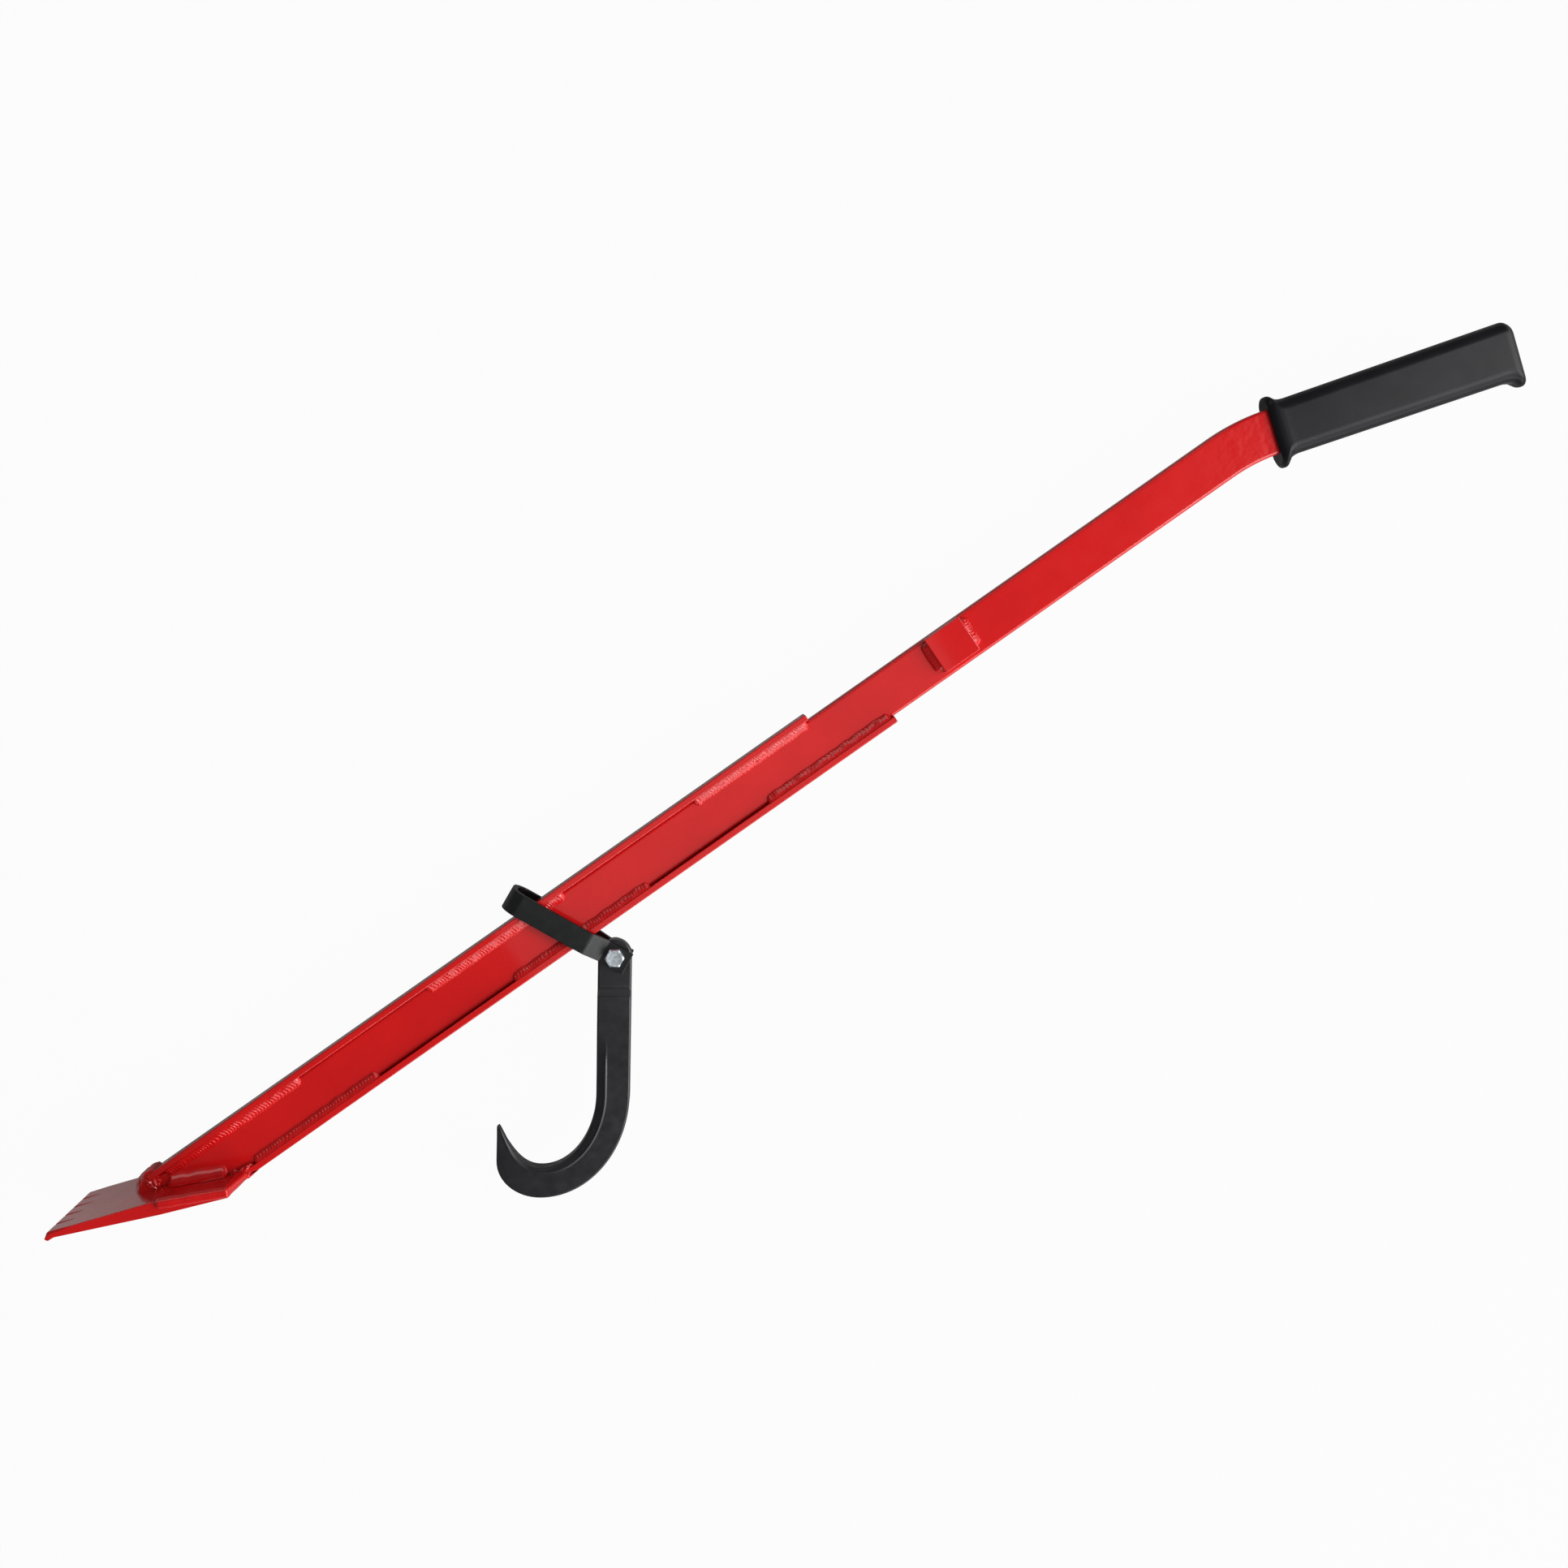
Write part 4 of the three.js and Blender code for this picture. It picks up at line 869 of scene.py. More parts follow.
def rear_bead():
    """The weld that closes the corner between the blade's rear end and the lower strip's end."""
    foot = (HEEL[1] + BEAM_HALF) / math.sin(REAR_SLOPE)
    start = REAR_LENGTH - REAR_BEAD_LAP
    under, bulge, end = REAR_BEAD_RADII
    low, high = REAR_BEAD_LAP_HEIGHTS
    corners = [
        (start, -REAR_THICKNESS + low, under),
        ((REAR_LENGTH + foot) / 2, -REAR_THICKNESS / 2 - REAR_BEAD_BULGE, bulge),
        (foot + REAR_BEAD_FOOT[0], REAR_BEAD_FOOT[1], end),
        (foot + REAR_BEAD_ROOT[0], REAR_BEAD_ROOT[1], 0),
        (start, high, 0),
    ]
    half = FLANGE_HALF_WIDTH - REAR_BEAD_SETBACK
    rings = slab(rounded(corners, steps=5), half, REAR_BEAD_EDGE_RADIUS, spans=2)
    red_piece("rear_bead", onto_blade(rings, REAR_SLOPE), "foot_weld_rear")


def lump(name, centre, radii, seed):
    """A lump of weld: a ball with its own radii, dented by a few seeded waves in random directions."""
    random = np.random.default_rng(SEED + seed)
    polar = np.radians(np.linspace(LUMP_POLE, 180 - LUMP_POLE, LUMP_ROWS))[:, None]
    about = np.linspace(0, 2 * math.pi, LUMP_COLUMNS, endpoint=False)[None, :]
    across, up = np.sin(polar) * np.cos(about), np.sin(polar) * np.sin(about)
    unit = np.stack((np.cos(polar) + 0 * about, across, up), axis=-1)
    wave = random.normal(0, LUMP_WAVE_SPREAD, (LUMP_WAVES, 3))
    phase = random.uniform(0, 2 * math.pi, LUMP_WAVES)
    dent = np.sin(unit @ wave.T + phase).mean(axis=-1, keepdims=True)
    red_piece(name, np.array(centre) + unit * np.array(radii) * (1 + LUMP_DENT_SHARE * dent))


def corner_lumps():
    """Where the beads start and stop, at the bar's front corner and at the lower strip's end."""
    for word, face in FACES:
        for name, (x, y, z), radii, seed in CORNER_LUMPS:
            lump(f"{name}_{word}", (x, y, face * z), radii, seed + face)


# The grip

def grip_stations():
    """Distances along the grip, close together at its mouth, collar, lip and rounded end."""
    start, collar, middle, lip, end = GRIP_STATIONS
    lip_start = GRIP_LENGTH - LIP_FLARE_LENGTH
    turn = np.linspace(0, math.pi / 2, end)
    return np.unique(np.concatenate((
        np.linspace(0, 1, start) ** 2 * GRIP_START_LENGTH,
        np.linspace(GRIP_START_LENGTH, COLLAR_FLARE_LENGTH, collar),
        np.linspace(COLLAR_FLARE_LENGTH, lip_start, middle),
        np.linspace(lip_start, GRIP_LENGTH - GRIP_END_RADIUS, lip),
        GRIP_LENGTH - GRIP_END_RADIUS * (1 - np.sin(turn)),
    )))


def grip():
    """Rounded oblong sections whose half heights and half width swell at the collar and the lip.

    The end is rounded off by a quarter circle, and a cube of the distance draws the sides in at
    the mouth.
    """
    x = grip_stations()
    wall = GRIP_WALLS[0] + (GRIP_WALLS[1] - GRIP_WALLS[0]) * x / GRIP_LENGTH
    flare = (FLARE_ALONG_SHARES, FLARE_HEIGHT_SHARES)
    collar = COLLAR_FLARE * smooth_curve(x / COLLAR_FLARE_LENGTH, *flare)
    lip = LIP_FLARE * smooth_curve((GRIP_LENGTH - x) / LIP_FLARE_LENGTH, *flare)
    past = np.maximum(0, x - GRIP_LENGTH + GRIP_END_RADIUS)
    inset = GRIP_END_RADIUS - np.sqrt(np.maximum(0, GRIP_END_RADIUS ** 2 - past ** 2))
    up = BAR_HALF + wall + collar * COLLAR_TOP_SHARE - inset
    down = BAR_HALF + wall + collar + lip
    mouth = GRIP_MOUTH_DROP * np.maximum(0, 1 - x / GRIP_MOUTH_LENGTH) ** 3
    side = BAR_HALF_THICKNESS + GRIP_SIDE_WALL + collar * COLLAR_SIDE_SHARE - inset - mouth
    radius = np.minimum(GRIP_CORNER_RADIUS, side * GRIP_ROUND_SHARE)
    turn = np.linspace(0, math.pi / 2, GRIP_ARC_POINTS)
    rings = []
    for quadrant, (z_side, y_side) in enumerate(((1, 1), (-1, 1), (-1, -1), (1, -1))):
        angle = quadrant * math.pi / 2 + turn
        y = np.where(y_side > 0, up - radius, radius - down)[:, None] + radius[:, None] * np.sin(angle)
        z = (z_side * (side - radius))[:, None] + radius[:, None] * np.cos(angle)
        rings.append(np.stack((x[:, None] + 0 * y, y, z), axis=-1))
    rings = np.concatenate(rings, axis=1)
    along, across = in_plane(-BEND_ANGLE), in_plane(math.pi / 2 - BEND_ANGLE)
    end_x = BAR_STRAIGHT + BEND_RADIUS * math.sin(BEND_ANGLE)
    end_y = BEND_RADIUS * (math.cos(BEND_ANGLE) - 1)
    start = np.array((end_x, end_y, 0)) - along * GRIP_OVER_BEND
    rings = into_frame(rings, along, across, (0, 0, 1), start)
    piece("handle_grip", rings, "lever", "grip_plastic", ("grip",), GRIP_SHARP)


# The pivot bolt, the stirrup and the hook

def turned(profile, sides=0, count=72):
    """Rings of a turned piece from (radius, height) pairs; with sides, radii stop at a hexagon's flats."""
    angle = np.linspace(0, 2 * math.pi, count, endpoint=False)
    radius = np.array([r for r, _ in profile], dtype=float)[:, None] + 0 * angle
    if sides:
        off = (angle - HEX_TURN) % (2 * math.pi / sides) - math.pi / sides
        radius = np.minimum(radius, HEX_HALF / np.cos(off))
    height = np.array([h for _, h in profile], dtype=float)[:, None] + 0 * angle
    return np.stack((radius * np.cos(angle), radius * np.sin(angle), height), axis=-1)


def bolt_head():
    """A hexagon head with a turned-off rim and a shallow dish."""
    top = LEG_OUTER + HEAD_HEIGHT
    rim, slope, floor = DISH_SHARES
    profile = [
        (AXIS_RADIUS, LEG_OUTER),
        (HEX_CORNER, LEG_OUTER),
        (HEX_CORNER, top - CHAMFER_FALL),
        (HEX_HALF * CHAMFER_SHARE, top - HEAD_RIM_DROP),
        (HEX_HALF * rim, top),
        (HEX_HALF * slope, top - DISH_DROPS[0]),
        (HEX_HALF * floor, top - DISH_DROPS[1]),
        (AXIS_RADIUS, top - DISH_DROPS[1]),
    ]
    rings = turned(profile, HEX_SIDES) + PIVOT
    piece("bolt_head", rings, "pivot", "zinc_plate", ("pivot_bolt",), BOLT_SHARP)


def bolt_shank():
    """A plain shank from the head down to a thread, which is drawn as V rings a pitch apart."""
    end = -LEG_OUTER - WASHER_THICKNESS - NUT_HEIGHT - BOLT_TAIL
    start = end + THREAD_START
    thread = np.arange(start, start + THREAD_TURNS * THREAD_PITCH, THREAD_PITCH / THREAD_STEPS)
    depth = THREAD_DEPTH * np.abs(((thread - end) / THREAD_PITCH) % 1 * 2 - 1)
    profile = [(AXIS_RADIUS, end), (BOLT_RADIUS - THREAD_TIP_INSET, end)]
    profile += [(BOLT_RADIUS - d, h) for d, h in zip(depth, thread)]
    profile += [(BOLT_RADIUS, thread[-1] + THREAD_RUNOUT), (BOLT_RADIUS, LEG_OUTER), (AXIS_RADIUS, LEG_OUTER)]
    piece("bolt_shank", turned(profile, count=40) + PIVOT, "pivot", "zinc_plate")


def bolt_washer():
    """A flat ring with its outer edges broken."""
    low = -LEG_OUTER - WASHER_THICKNESS
    high = low + WASHER_THICKNESS
    bore = BOLT_RADIUS + BORE_CLEARANCE
    profile = [
        (bore, low),
        (WASHER_RADIUS - WASHER_EDGE, low),
        (WASHER_RADIUS, low + WASHER_EDGE),
        (WASHER_RADIUS, high - WASHER_EDGE),
        (WASHER_RADIUS - WASHER_EDGE, high),
        (bore, high),
    ]
    piece("bolt_washer", turned(profile, count=56) + PIVOT, "pivot", "zinc_plate", ("pivot_washer",))


def bolt_nut():
    """A locking nut: a round collar at its outer end and a hexagon towards the washer."""
    high = -LEG_OUTER - WASHER_THICKNESS
    low = high - NUT_HEIGHT
    bore = BOLT_RADIUS + BORE_CLEARANCE
    collar = HEX_HALF * NUT_COLLAR_SHARE
    hexagon = low + NUT_HEIGHT * NUT_HEX_START_SHARE
    profile = [
        (bore, low),
        (collar - NUT_COLLAR_EDGE, low),
        (collar, low + NUT_COLLAR_EDGE),
        (collar, low + NUT_HEIGHT * NUT_COLLAR_HEIGHT_SHARE),
        (HEX_HALF * CHAMFER_SHARE, hexagon),
        (HEX_CORNER, hexagon + CHAMFER_FALL),
        (HEX_CORNER, high - CHAMFER_FALL),
        (HEX_HALF * CHAMFER_SHARE, high),
        (bore, high),
    ]
    rings = turned(profile, HEX_SIDES) + PIVOT
    piece("bolt_nut", rings, "pivot", "zinc_plate", ("pivot_nut",), BOLT_SHARP)


def flipped(corners):
    """The same corners on the other side of the strap's middle line."""
    return [(x, -y, radius) for x, y, radius in corners]


def stirrup():
    """One strap bent round the bar: the outline of its edge, swept across its width."""
    inner = FLANGE_HALF_WIDTH + STIRRUP_SIDE_CLEARANCE
    outer = inner + STRAP_THICKNESS
    eye = LEG_OUTER - STRAP_THICKNESS
    drop = -PIVOT[1] - BEAM_HALF
    level = math.sqrt(drop ** 2 - (STRAP_WIDTH / 2) ** 2)
    slope = math.atan2(FLANGE_HALF_WIDTH + STIRRUP_SETTLE - eye, level - JOG_START)
    jog_end = JOG_START + (inner - eye) / math.tan(slope)
    shift = STRAP_THICKNESS * math.tan(slope / 2)
    end = drop + 2 * BEAM_HALF + STIRRUP_PLAY + STRAP_THICKNESS
    outside = [
        (-STIRRUP_TAIL, LEG_OUTER, STIRRUP_TAIL_RADIUS),
        (JOG_START - shift, LEG_OUTER, JOG_RADIUS),
        (jog_end - shift, outer, JOG_RADIUS + STRAP_THICKNESS),
        (end, outer, STIRRUP_BEND_RADIUS + STRAP_THICKNESS),
    ]
    inside = [
        (end - STRAP_THICKNESS, inner, STIRRUP_BEND_RADIUS),
        (jog_end, inner, JOG_RADIUS),
        (JOG_START, eye, JOG_RADIUS + STRAP_THICKNESS),
        (-STIRRUP_TAIL, eye, STIRRUP_TAIL_RADIUS),
    ]
    outline = rounded(flipped(outside) + outside[::-1] + inside[::-1] + flipped(inside), steps=9)
    axis = in_plane(math.pi / 2 + STIRRUP_LEAN)
    rings = slab(outline, STRAP_WIDTH / 2, STRAP_EDGE_RADIUS, spans=2, steps=3)
    rings = into_frame(rings, axis, (0, 0, 1), np.cross(axis, (0, 0, 1)), PIVOT)
    piece("strap_stirrup", rings, "stirrup", "black_paint", ("stirrup",), STIRRUP_SHARP, paired=True)


def hook_stations():
    """Outer and inner edge points, half thickness and facet share of the hook from its eye to its point."""
    half, eye, full = HOOK_WIDTH / 2, HOOK_EYE_THICKNESS / 2, HOOK_THICKNESS / 2
    turn = np.radians(np.linspace(HOOK_EYE_TURN, 0, HOOK_EYE_STATIONS))
    across, down = half * np.cos(turn), half * np.sin(turn)
    eye_part = np.stack((across, down, -across, down, 0 * turn + eye, 0 * turn), axis=-1)
    step = HOOK_EYE_LENGTH + np.array(HOOK_STEP_ALONG)
    first = HOOK_EYE_LENGTH + HOOK_STEP_LENGTH + HOOK_STATION_MARGIN
    rest = np.linspace(first, HOOK_SHANK - HOOK_STATION_MARGIN, HOOK_SHANK_STATIONS)
    down = np.concatenate(((HOOK_FIRST_STATION,), step, rest))
    thick = eye + (full - eye) * np.interp(down, step, HOOK_STEP_RISE_SHARES)
    facet = np.clip((down - HOOK_FACET_START) / HOOK_FACET_RUN, 0, 1)
    shank = np.stack((half + 0 * down, -down, -half + 0 * down, -down, thick, facet), axis=-1)
    turn = np.linspace(0, math.pi / 2, HOOK_CURVE_STATIONS)
    fade = (1 - HOOK_TOE_FACET_SHARE) * np.clip(turn / (math.pi / 2), 0, 1) ** HOOK_FACET_FADE_POWER
    curve = np.stack((
        (HOOK_REACH + half) * np.cos(turn) - HOOK_REACH,
        -HOOK_SHANK - (HOOK_DEPTH + HOOK_BOTTOM_WIDTH) * np.sin(turn),
        (HOOK_REACH - half) * np.cos(turn) - HOOK_REACH,
        -HOOK_SHANK - HOOK_DEPTH * np.sin(turn),
        full + 0 * turn,
        1 - fade,
    ), axis=-1)
    return np.concatenate((eye_part, shank, curve, hook_toe(full)))


def hook_toe(full):
    """The toe: outside a quarter ellipse and a straight, inside one Bezier curve, thinner to the point."""
    bottom = HOOK_SHANK + HOOK_DEPTH
    reach = HOOK_POINT_REACH - HOOK_REACH
    rise = bottom - HOOK_POINT_DROP
    share = np.linspace(0, 1, HOOK_TOE_STATIONS)[1:-1]
    p = [np.array((reach * a - HOOK_REACH, -HOOK_POINT_DROP - rise * d)) for a, d in HOOK_TOE_INNER_SHARES]
    t = share[:, None]
    inner = (1 - t) ** 3 * p[0] + 3 * (1 - t) ** 2 * t * p[1] + 3 * (1 - t) * t ** 2 * p[2] + t ** 3 * p[3]
    angle = np.linspace(-math.pi / 2, -math.pi, HOOK_TOE_ARC_POINTS)
    depth = bottom + HOOK_BOTTOM_WIDTH - HOOK_TOE_DROP
    arc = np.stack((-HOOK_REACH + reach * np.cos(angle), -HOOK_TOE_DROP + depth * np.sin(angle)), axis=-1)
    path = np.concatenate((arc, np.linspace(arc[-1], p[3], HOOK_TOE_STRAIGHT_POINTS)[1:]))
    run = np.concatenate(((0,), np.cumsum(np.hypot(*np.diff(path, axis=0).T))))
    outer = np.stack([np.interp(share * run[-1], run, path[:, k]) for k in (0, 1)], axis=-1)
    thick = full + (HOOK_POINT_HALF_THICKNESS - full) * share ** 2
    return np.column_stack((outer, inner, thick, HOOK_TOE_FACET_SHARE + 0 * share))


def hook_section(stations):
    """Offsets from the outer edge and heights of half a section: its outer arc, crease and inner arc.

    The facet slopes down from the crease to the inner edge, behind a low ridge that stands along
    the crease.
    """
    outer, inner, half, facet_share = stations[:, 0:2], stations[:, 2:4], stations[:, 4], stations[:, 5]
    width = np.hypot(*(inner - outer).T)
    of_width, of_half = HOOK_EDGE_SHARES
    edge = np.minimum(np.minimum(HOOK_EDGE_RADIUS, width * of_width), half * of_half)
    growth, start = HOOK_RIDGE_GROWTH
    onset = np.clip(facet_share * HOOK_RIDGE_ONSET, 0, 1)
    ridge = HOOK_RIDGE * onset * np.clip(facet_share * growth - start, 0, 1)
    least, more = HOOK_NARROW_SHARES
    narrow = np.where(inner[:, 1] < -HOOK_SHANK, least + more * (facet_share - HOOK_TOE_FACET_SHARE), 1)
    facet = np.minimum(HOOK_FACET, width * HOOK_FACET_WIDTH_SHARE) * narrow
    drop = np.minimum(HOOK_FACET_DROP, half * of_half) * facet_share
    side = []
    for a in np.linspace(math.pi, math.pi / 2, HOOK_ARC_POINTS):
        side.append((edge * (1 + math.cos(a)), half - edge * (1 - math.sin(a))))
    side += [(width - facet + offset, half + rise * ridge) for offset, rise in HOOK_CREASE]
    side.append((width - facet + HOOK_CREASE_END, half - drop * HOOK_CREASE_END / facet))
    lean = np.arctan2(drop, facet)
    for share in np.linspace(0, 1, HOOK_ARC_POINTS):
        a = (math.pi / 2 - lean) * (1 - share)
        lift = HOOK_LIFT_SHARE * drop * (1 - share)
        side.append((width - edge * (1 - np.cos(a)), half - drop - edge * (1 - np.sin(a)) + lift))
    offset = np.stack([o for o, _ in side], axis=1)
    height = np.stack([h + 0 * width for _, h in side], axis=1)
    return offset, height


def hook():
    """Sections between the outer and inner edge: rounded outside, and a sloping facet inside."""
    stations = hook_stations()
    outer, inner = stations[:, 0:2], stations[:, 2:4]
    width = np.hypot(*(inner - outer).T)
    offset, height = hook_section(stations)
    offset = np.concatenate((offset, offset[:, ::-1]), axis=1)
    height = np.concatenate((height, -height[:, ::-1]), axis=1)
    across = (inner - outer) / width[:, None]
    flat = outer[:, None] + across[:, None] * offset[..., None]
    rings = np.concatenate((flat, height[..., None]), axis=-1)
    rings = into_frame(rings, in_plane(-HOOK_SWING), in_plane(math.pi / 2 - HOOK_SWING), (0, 0, 1), PIVOT)
    piece("cant_hook", rings, "hook", "forged_black", ("hook",), HOOK_SHARP)


# Materials

def srgb(code):
    """Linear colour of an sRGB hex code."""
    parts = [int(code[i:i + 2], 16) / 255 for i in (1, 3, 5)]
    return tuple(p / 12.92 if p <= 0.04045 else ((p + 0.055) / 1.055) ** 2.4 for p in parts) + (1,)


def add(tree, kind, inputs=(), **settings):
    """A node of a kind with its settings, and inputs given as values or as sockets to link."""
    node = tree.nodes.new(kind)
    for key, value in settings.items():
        setattr(node, key, value)
    for key, value in dict(inputs).items():
        if isinstance(value, bpy.types.NodeSocket):
            tree.links.new(value, node.inputs[key])
        else:
            node.inputs[key].default_value = value
    return node


def per_mm(size):
    """Noise scale for features of a size in millimetres, on object coordinates in metres."""
    return 1 / (size * MM)


def new_material(name):
    """A material with its node tree, its shader and its object coordinates."""
    material = bpy.data.materials.new(name)
    material.use_nodes = True
    tree = material.node_tree
    shader = tree.nodes["Principled BSDF"]
    place = add(tree, "ShaderNodeTexCoord").outputs["Object"]
    return material, tree, shader, place


def noise(tree, place, size, detail=2.0, rough=0.5):
    """Noise whose features have a size in millimetres."""
    inputs = {"Vector": place, "Scale": per_mm(size), "Detail": detail, "Roughness": rough}
    return add(tree, "ShaderNodeTexNoise", inputs).outputs["Fac"]


def ramp(tree, factor, stops):
    """A colour ramp from (position, hex) pairs."""
    node = add(tree, "ShaderNodeValToRGB", {"Fac": factor})
    elements = node.color_ramp.elements
    while len(elements) < len(stops):
        elements.new(0.5)
    for element, (position, code) in zip(elements, stops):
        element.position = position
        element.color = srgb(code)
    return node.outputs["Color"]


def remap(tree, factor, span, low=0.0, high=1.0):
    """A factor's span of values stretched to run from low to high, and held there past its ends."""
    inputs = {"Value": factor, "From Min": span[0], "From Max": span[1], "To Min": low, "To Max": high}
    return add(tree, "ShaderNodeMapRange", inputs).outputs["Result"]


def bump(tree, height, distance_mm, strength=1.0, normal=None):
    """A normal tilted by a height of up to a distance in millimetres."""
    inputs = {"Height": height, "Distance": distance_mm * MM, "Strength": strength}
    if normal is not None:
        inputs["Normal"] = normal
    return add(tree, "ShaderNodeBump", inputs).outputs["Normal"]


def link(tree, shader, **sockets):
    """Set or link a shader's inputs, named with underscores for spaces."""
    for key, value in sockets.items():
        socket = shader.inputs[key.replace("_", " ")]
        if isinstance(value, bpy.types.NodeSocket):
            tree.links.new(value, socket)
        else:
            socket.default_value = value


def gloss_red_paint():
    """Sprayed gloss paint over welded steel: an uneven film, faint orange peel and dust specks."""
    material, tree, shader, place = new_material("gloss_red_enamel_sprayed")
    film = noise(tree, place, size=45, detail=3)
    colour = ramp(tree, film, [(0.3, "#bf1113"), (0.55, "#c51314"), (0.75, "#ca1516")])
    peel = noise(tree, place, size=3.5)
    grit = noise(tree, place, size=0.6, detail=3, rough=0.6)
    along = add(tree, "ShaderNodeSeparateXYZ", {"Vector": place}).outputs["X"]
    near_grip = remap(tree, along, WAVY_PAINT_X)
    waves = {0: noise(tree, place, size=7, detail=1), 1: near_grip}
    waves = add(tree, "ShaderNodeMath", waves, operation="MULTIPLY").outputs[0]
    normal = bump(tree, waves, distance_mm=0.5, strength=0.7)
    normal = bump(tree, peel, distance_mm=0.018, strength=0.5, normal=normal)
    normal = bump(tree, grit, distance_mm=0.006, strength=0.4, normal=normal)
    rough = remap(tree, noise(tree, place, size=14, detail=3), NOISE_RANGE, low=0.26, high=0.32)
    link(tree, shader, Base_Color=colour, Roughness=rough, Normal=normal)
    link(tree, shader, Specular_IOR_Level=0.15, Coat_Weight=0.8, Coat_Roughness=0.05)
    return material


def moulded_grip():
    """Moulded soft plastic: a fine spark-eroded grain and slightly polished patches."""
    material, tree, shader, place = new_material("black_plastic_moulded_grain")
    colour = ramp(tree, noise(tree, place, size=25, detail=3), [(0.35, "#131316"), (0.7, "#18181b")])
    grain = noise(tree, place, size=0.55, detail=3, rough=0.7)
    normal = bump(tree, grain, distance_mm=0.012, strength=0.6)
    rough = remap(tree, noise(tree, place, size=20, detail=3), NOISE_RANGE, low=0.32, high=0.38)
    link(tree, shader, Base_Color=colour, Roughness=rough, Normal=normal, Specular_IOR_Level=0.17)
    return material


def zinc_plating():
    """Bright zinc plating over a cold-forged bolt: a mottled, slightly blue passivated film."""
    material, tree, shader, place = new_material("zinc_plated_steel_passivated")
    film = noise(tree, place, size=2.2, detail=4, rough=0.6)
    colour = ramp(tree, film, [(0.3, "#b4c0ca"), (0.5, "#d4dde3"), (0.72, "#eef2f4")])
    rough = remap(tree, noise(tree, place, size=1.2, detail=3), NOISE_RANGE, low=0.34, high=0.5)
    normal = bump(tree, noise(tree, place, size=1.6, detail=3), distance_mm=0.06, strength=0.5)
    link(tree, shader, Base_Color=colour, Roughness=rough, Metallic=1.0, Normal=normal)
    return material


def strap_paint():
    """Semi-gloss black paint on bent flat steel: a fine spray grain that shows where light grazes it."""
    material, tree, shader, place = new_material("black_enamel_on_flat_steel")
    colour = ramp(tree, noise(tree, place, size=12, detail=4), [(0.35, "#08090a"), (0.7, "#0e1011")])
    grain = noise(tree, place, size=0.8, detail=4, rough=0.65)
    normal = bump(tree, grain, distance_mm=0.035, strength=0.7)
    rough = remap(tree, noise(tree, place, size=6, detail=4), NOISE_RANGE, low=0.3, high=0.42)
    link(tree, shader, Base_Color=colour, Roughness=rough, Normal=normal)
    return material


def forged_paint():
    """Semi-gloss black paint over a forging: soft dents, small pits and pale specks of dust."""
    material, tree, shader, place = new_material("black_enamel_on_forged_steel")
    colour = ramp(tree, noise(tree, place, size=16, detail=4), [(0.35, "#18181b"), (0.7, "#202023")])
    dust = remap(tree, noise(tree, place, size=1.7), DUST_RANGE)
    mix = add(tree, "ShaderNodeMix", {"Factor": dust}, data_type="RGBA")
    tree.links.new(colour, mix.inputs["A"])
    mix.inputs["B"].default_value = srgb("#6a6a6d")
    dents = bump(tree, noise(tree, place, size=9, detail=3), distance_mm=0.1, strength=0.5)
    pits = noise(tree, place, size=1.1, detail=4, rough=0.6)
    normal = bump(tree, pits, distance_mm=0.02, strength=0.6, normal=dents)
    rough = remap(tree, noise(tree, place, size=7, detail=4), NOISE_RANGE, low=0.28, high=0.42)
    link(tree, shader, Base_Color=mix.outputs["Result"], Roughness=rough, Normal=normal)
    return material


MATERIALS = {
    "red_paint": gloss_red_paint(),
    "grip_plastic": moulded_grip(),
    "zinc_plate": zinc_plating(),
    "black_paint": strap_paint(),
    "forged_black": forged_paint(),
}


# The studio

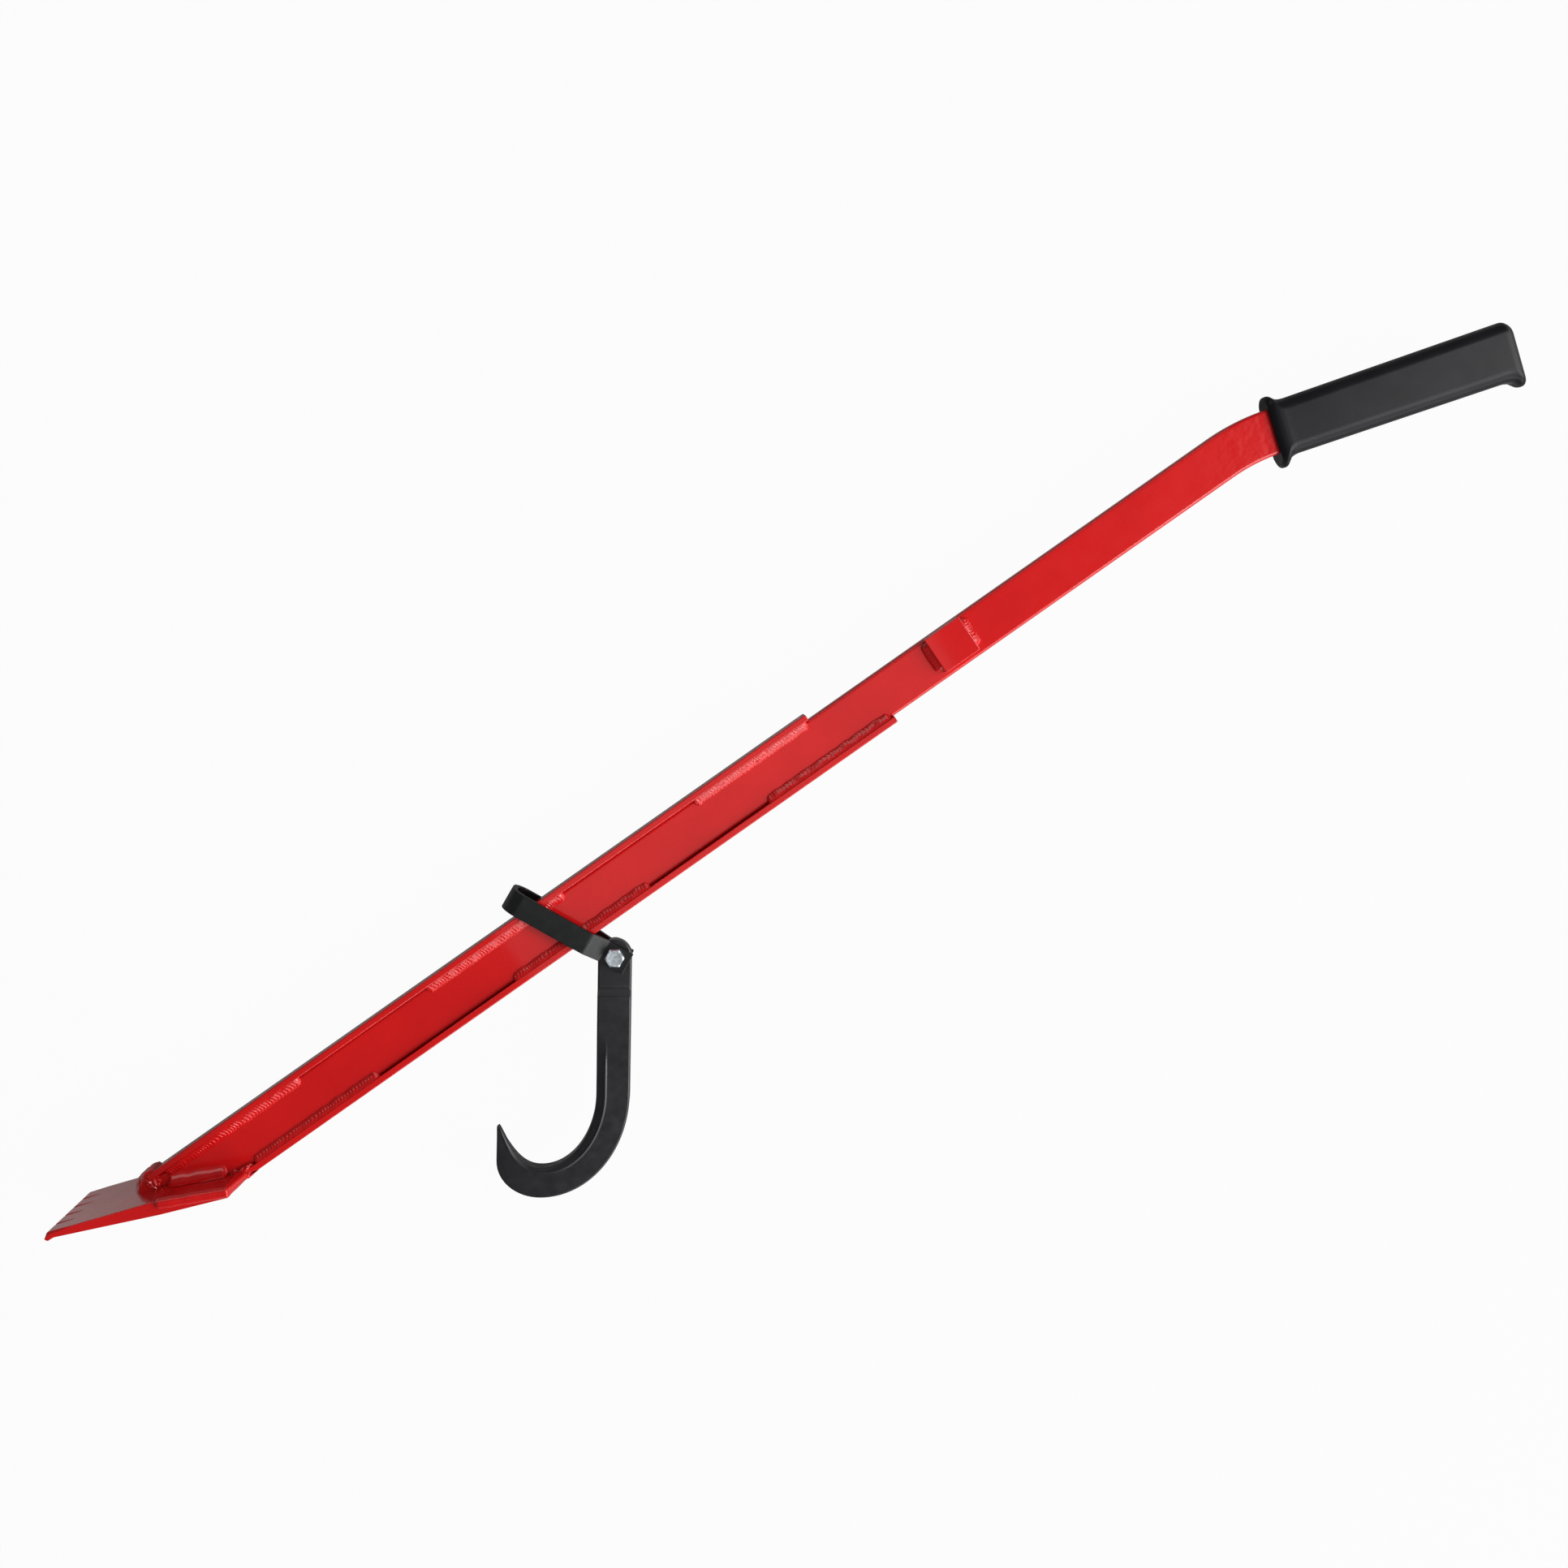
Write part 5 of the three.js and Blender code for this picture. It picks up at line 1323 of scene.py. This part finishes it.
def add_floor():
    """A matt floor that the camera sees as nearly plain white, and glossy paint to a small share, larger
    beside the blade as a painted reflection in its top.
    """
    mesh = bpy.data.meshes.new("floor")
    corners = [(x * FLOOR_HALF, y * FLOOR_HALF, 0) for x, y in ((-1, -1), (1, -1), (1, 1), (-1, 1))]
    mesh.from_pydata(corners, [], [(0, 1, 2, 3)])
    floor = bpy.data.objects.new("floor", mesh)
    bpy.context.scene.collection.objects.link(floor)
    material, tree, shader, place = new_material("white_paper")
    link(tree, shader, Base_Color=srgb(FLOOR_COLOUR), Roughness=FLOOR_ROUGHNESS)
    path = add(tree, "ShaderNodeLightPath").outputs
    seen = {0: path["Is Camera Ray"], 1: FLOOR_WHITE}
    seen = add(tree, "ShaderNodeMath", seen, operation="MULTIPLY").outputs[0]
    # Beside the blade, glossy rays see a larger share of emitted white: a painted reflection in the blade's
    # top
    along = add(tree, "ShaderNodeSeparateXYZ", {"Vector": place}).outputs["X"]
    mirror_white_with_painted_reflection = remap(tree, along, PAINTED_REFLECTION_X, FLOOR_WHITE_IN_MIRRORS, PAINTED_REFLECTION_BESIDE_BLADE)
    for kind in ("Is Glossy Ray", "Is Transmission Ray"):
        inputs = {0: path[kind], 1: mirror_white_with_painted_reflection, 2: seen}
        seen = add(tree, "ShaderNodeMath", inputs, operation="MULTIPLY_ADD").outputs[0]
    white = add(tree, "ShaderNodeEmission", {"Color": (1, 1, 1, 1), "Strength": 1.0}).outputs[0]
    mixed = add(tree, "ShaderNodeMixShader", {0: seen, 1: shader.outputs[0], 2: white}).outputs[0]
    tree.links.new(mixed, tree.nodes["Material Output"].inputs["Surface"])
    mesh.materials.append(material)


def add_world():
    """A white world, which the camera sees nearly at full strength and which lights the lever weakly."""
    world = bpy.data.worlds.new("studio")
    bpy.context.scene.world = world
    world.use_nodes = True
    tree = world.node_tree
    camera = add(tree, "ShaderNodeLightPath").outputs["Is Camera Ray"]
    level = add(tree, "ShaderNodeMapRange", {"Value": camera, "To Min": WORLD_LEVEL, "To Max": WORLD_SEEN})
    background = tree.nodes["Background"]
    background.inputs["Color"].default_value = (1, 1, 1, 1)
    tree.links.new(level.outputs["Result"], background.inputs["Strength"])


def add_light(name, place, aim, size, watts):
    """A rectangular area light, turned from its place to its aim."""
    data = bpy.data.lights.new(name, "AREA")
    data.shape = "RECTANGLE"
    data.size, data.size_y = size
    data.energy = watts
    light = bpy.data.objects.new(name, data)
    bpy.context.scene.collection.objects.link(light)
    light.location = place
    light.rotation_euler = (Vector(aim) - Vector(place)).to_track_quat("-Z", "Y").to_euler()


add_camera()
main_bar()
strips()
blade()
seam_beads()
foot_beads()
stop_blocks()
edge_bead()
front_bead()
rear_bead()
corner_lumps()
grip()
bolt_head()
bolt_shank()
bolt_washer()
bolt_nut()
stirrup()
hook()
for part in frame["record"]["subparts"]:
    node = frame["nodes"][part["node"]]
    node.data.materials.clear()
    node.data.materials.append(MATERIALS[part["material_slot"]])
add_floor()
add_world()
for light in LIGHTS:
    add_light(*light)
bpy.context.scene.view_settings.view_transform = "Standard"
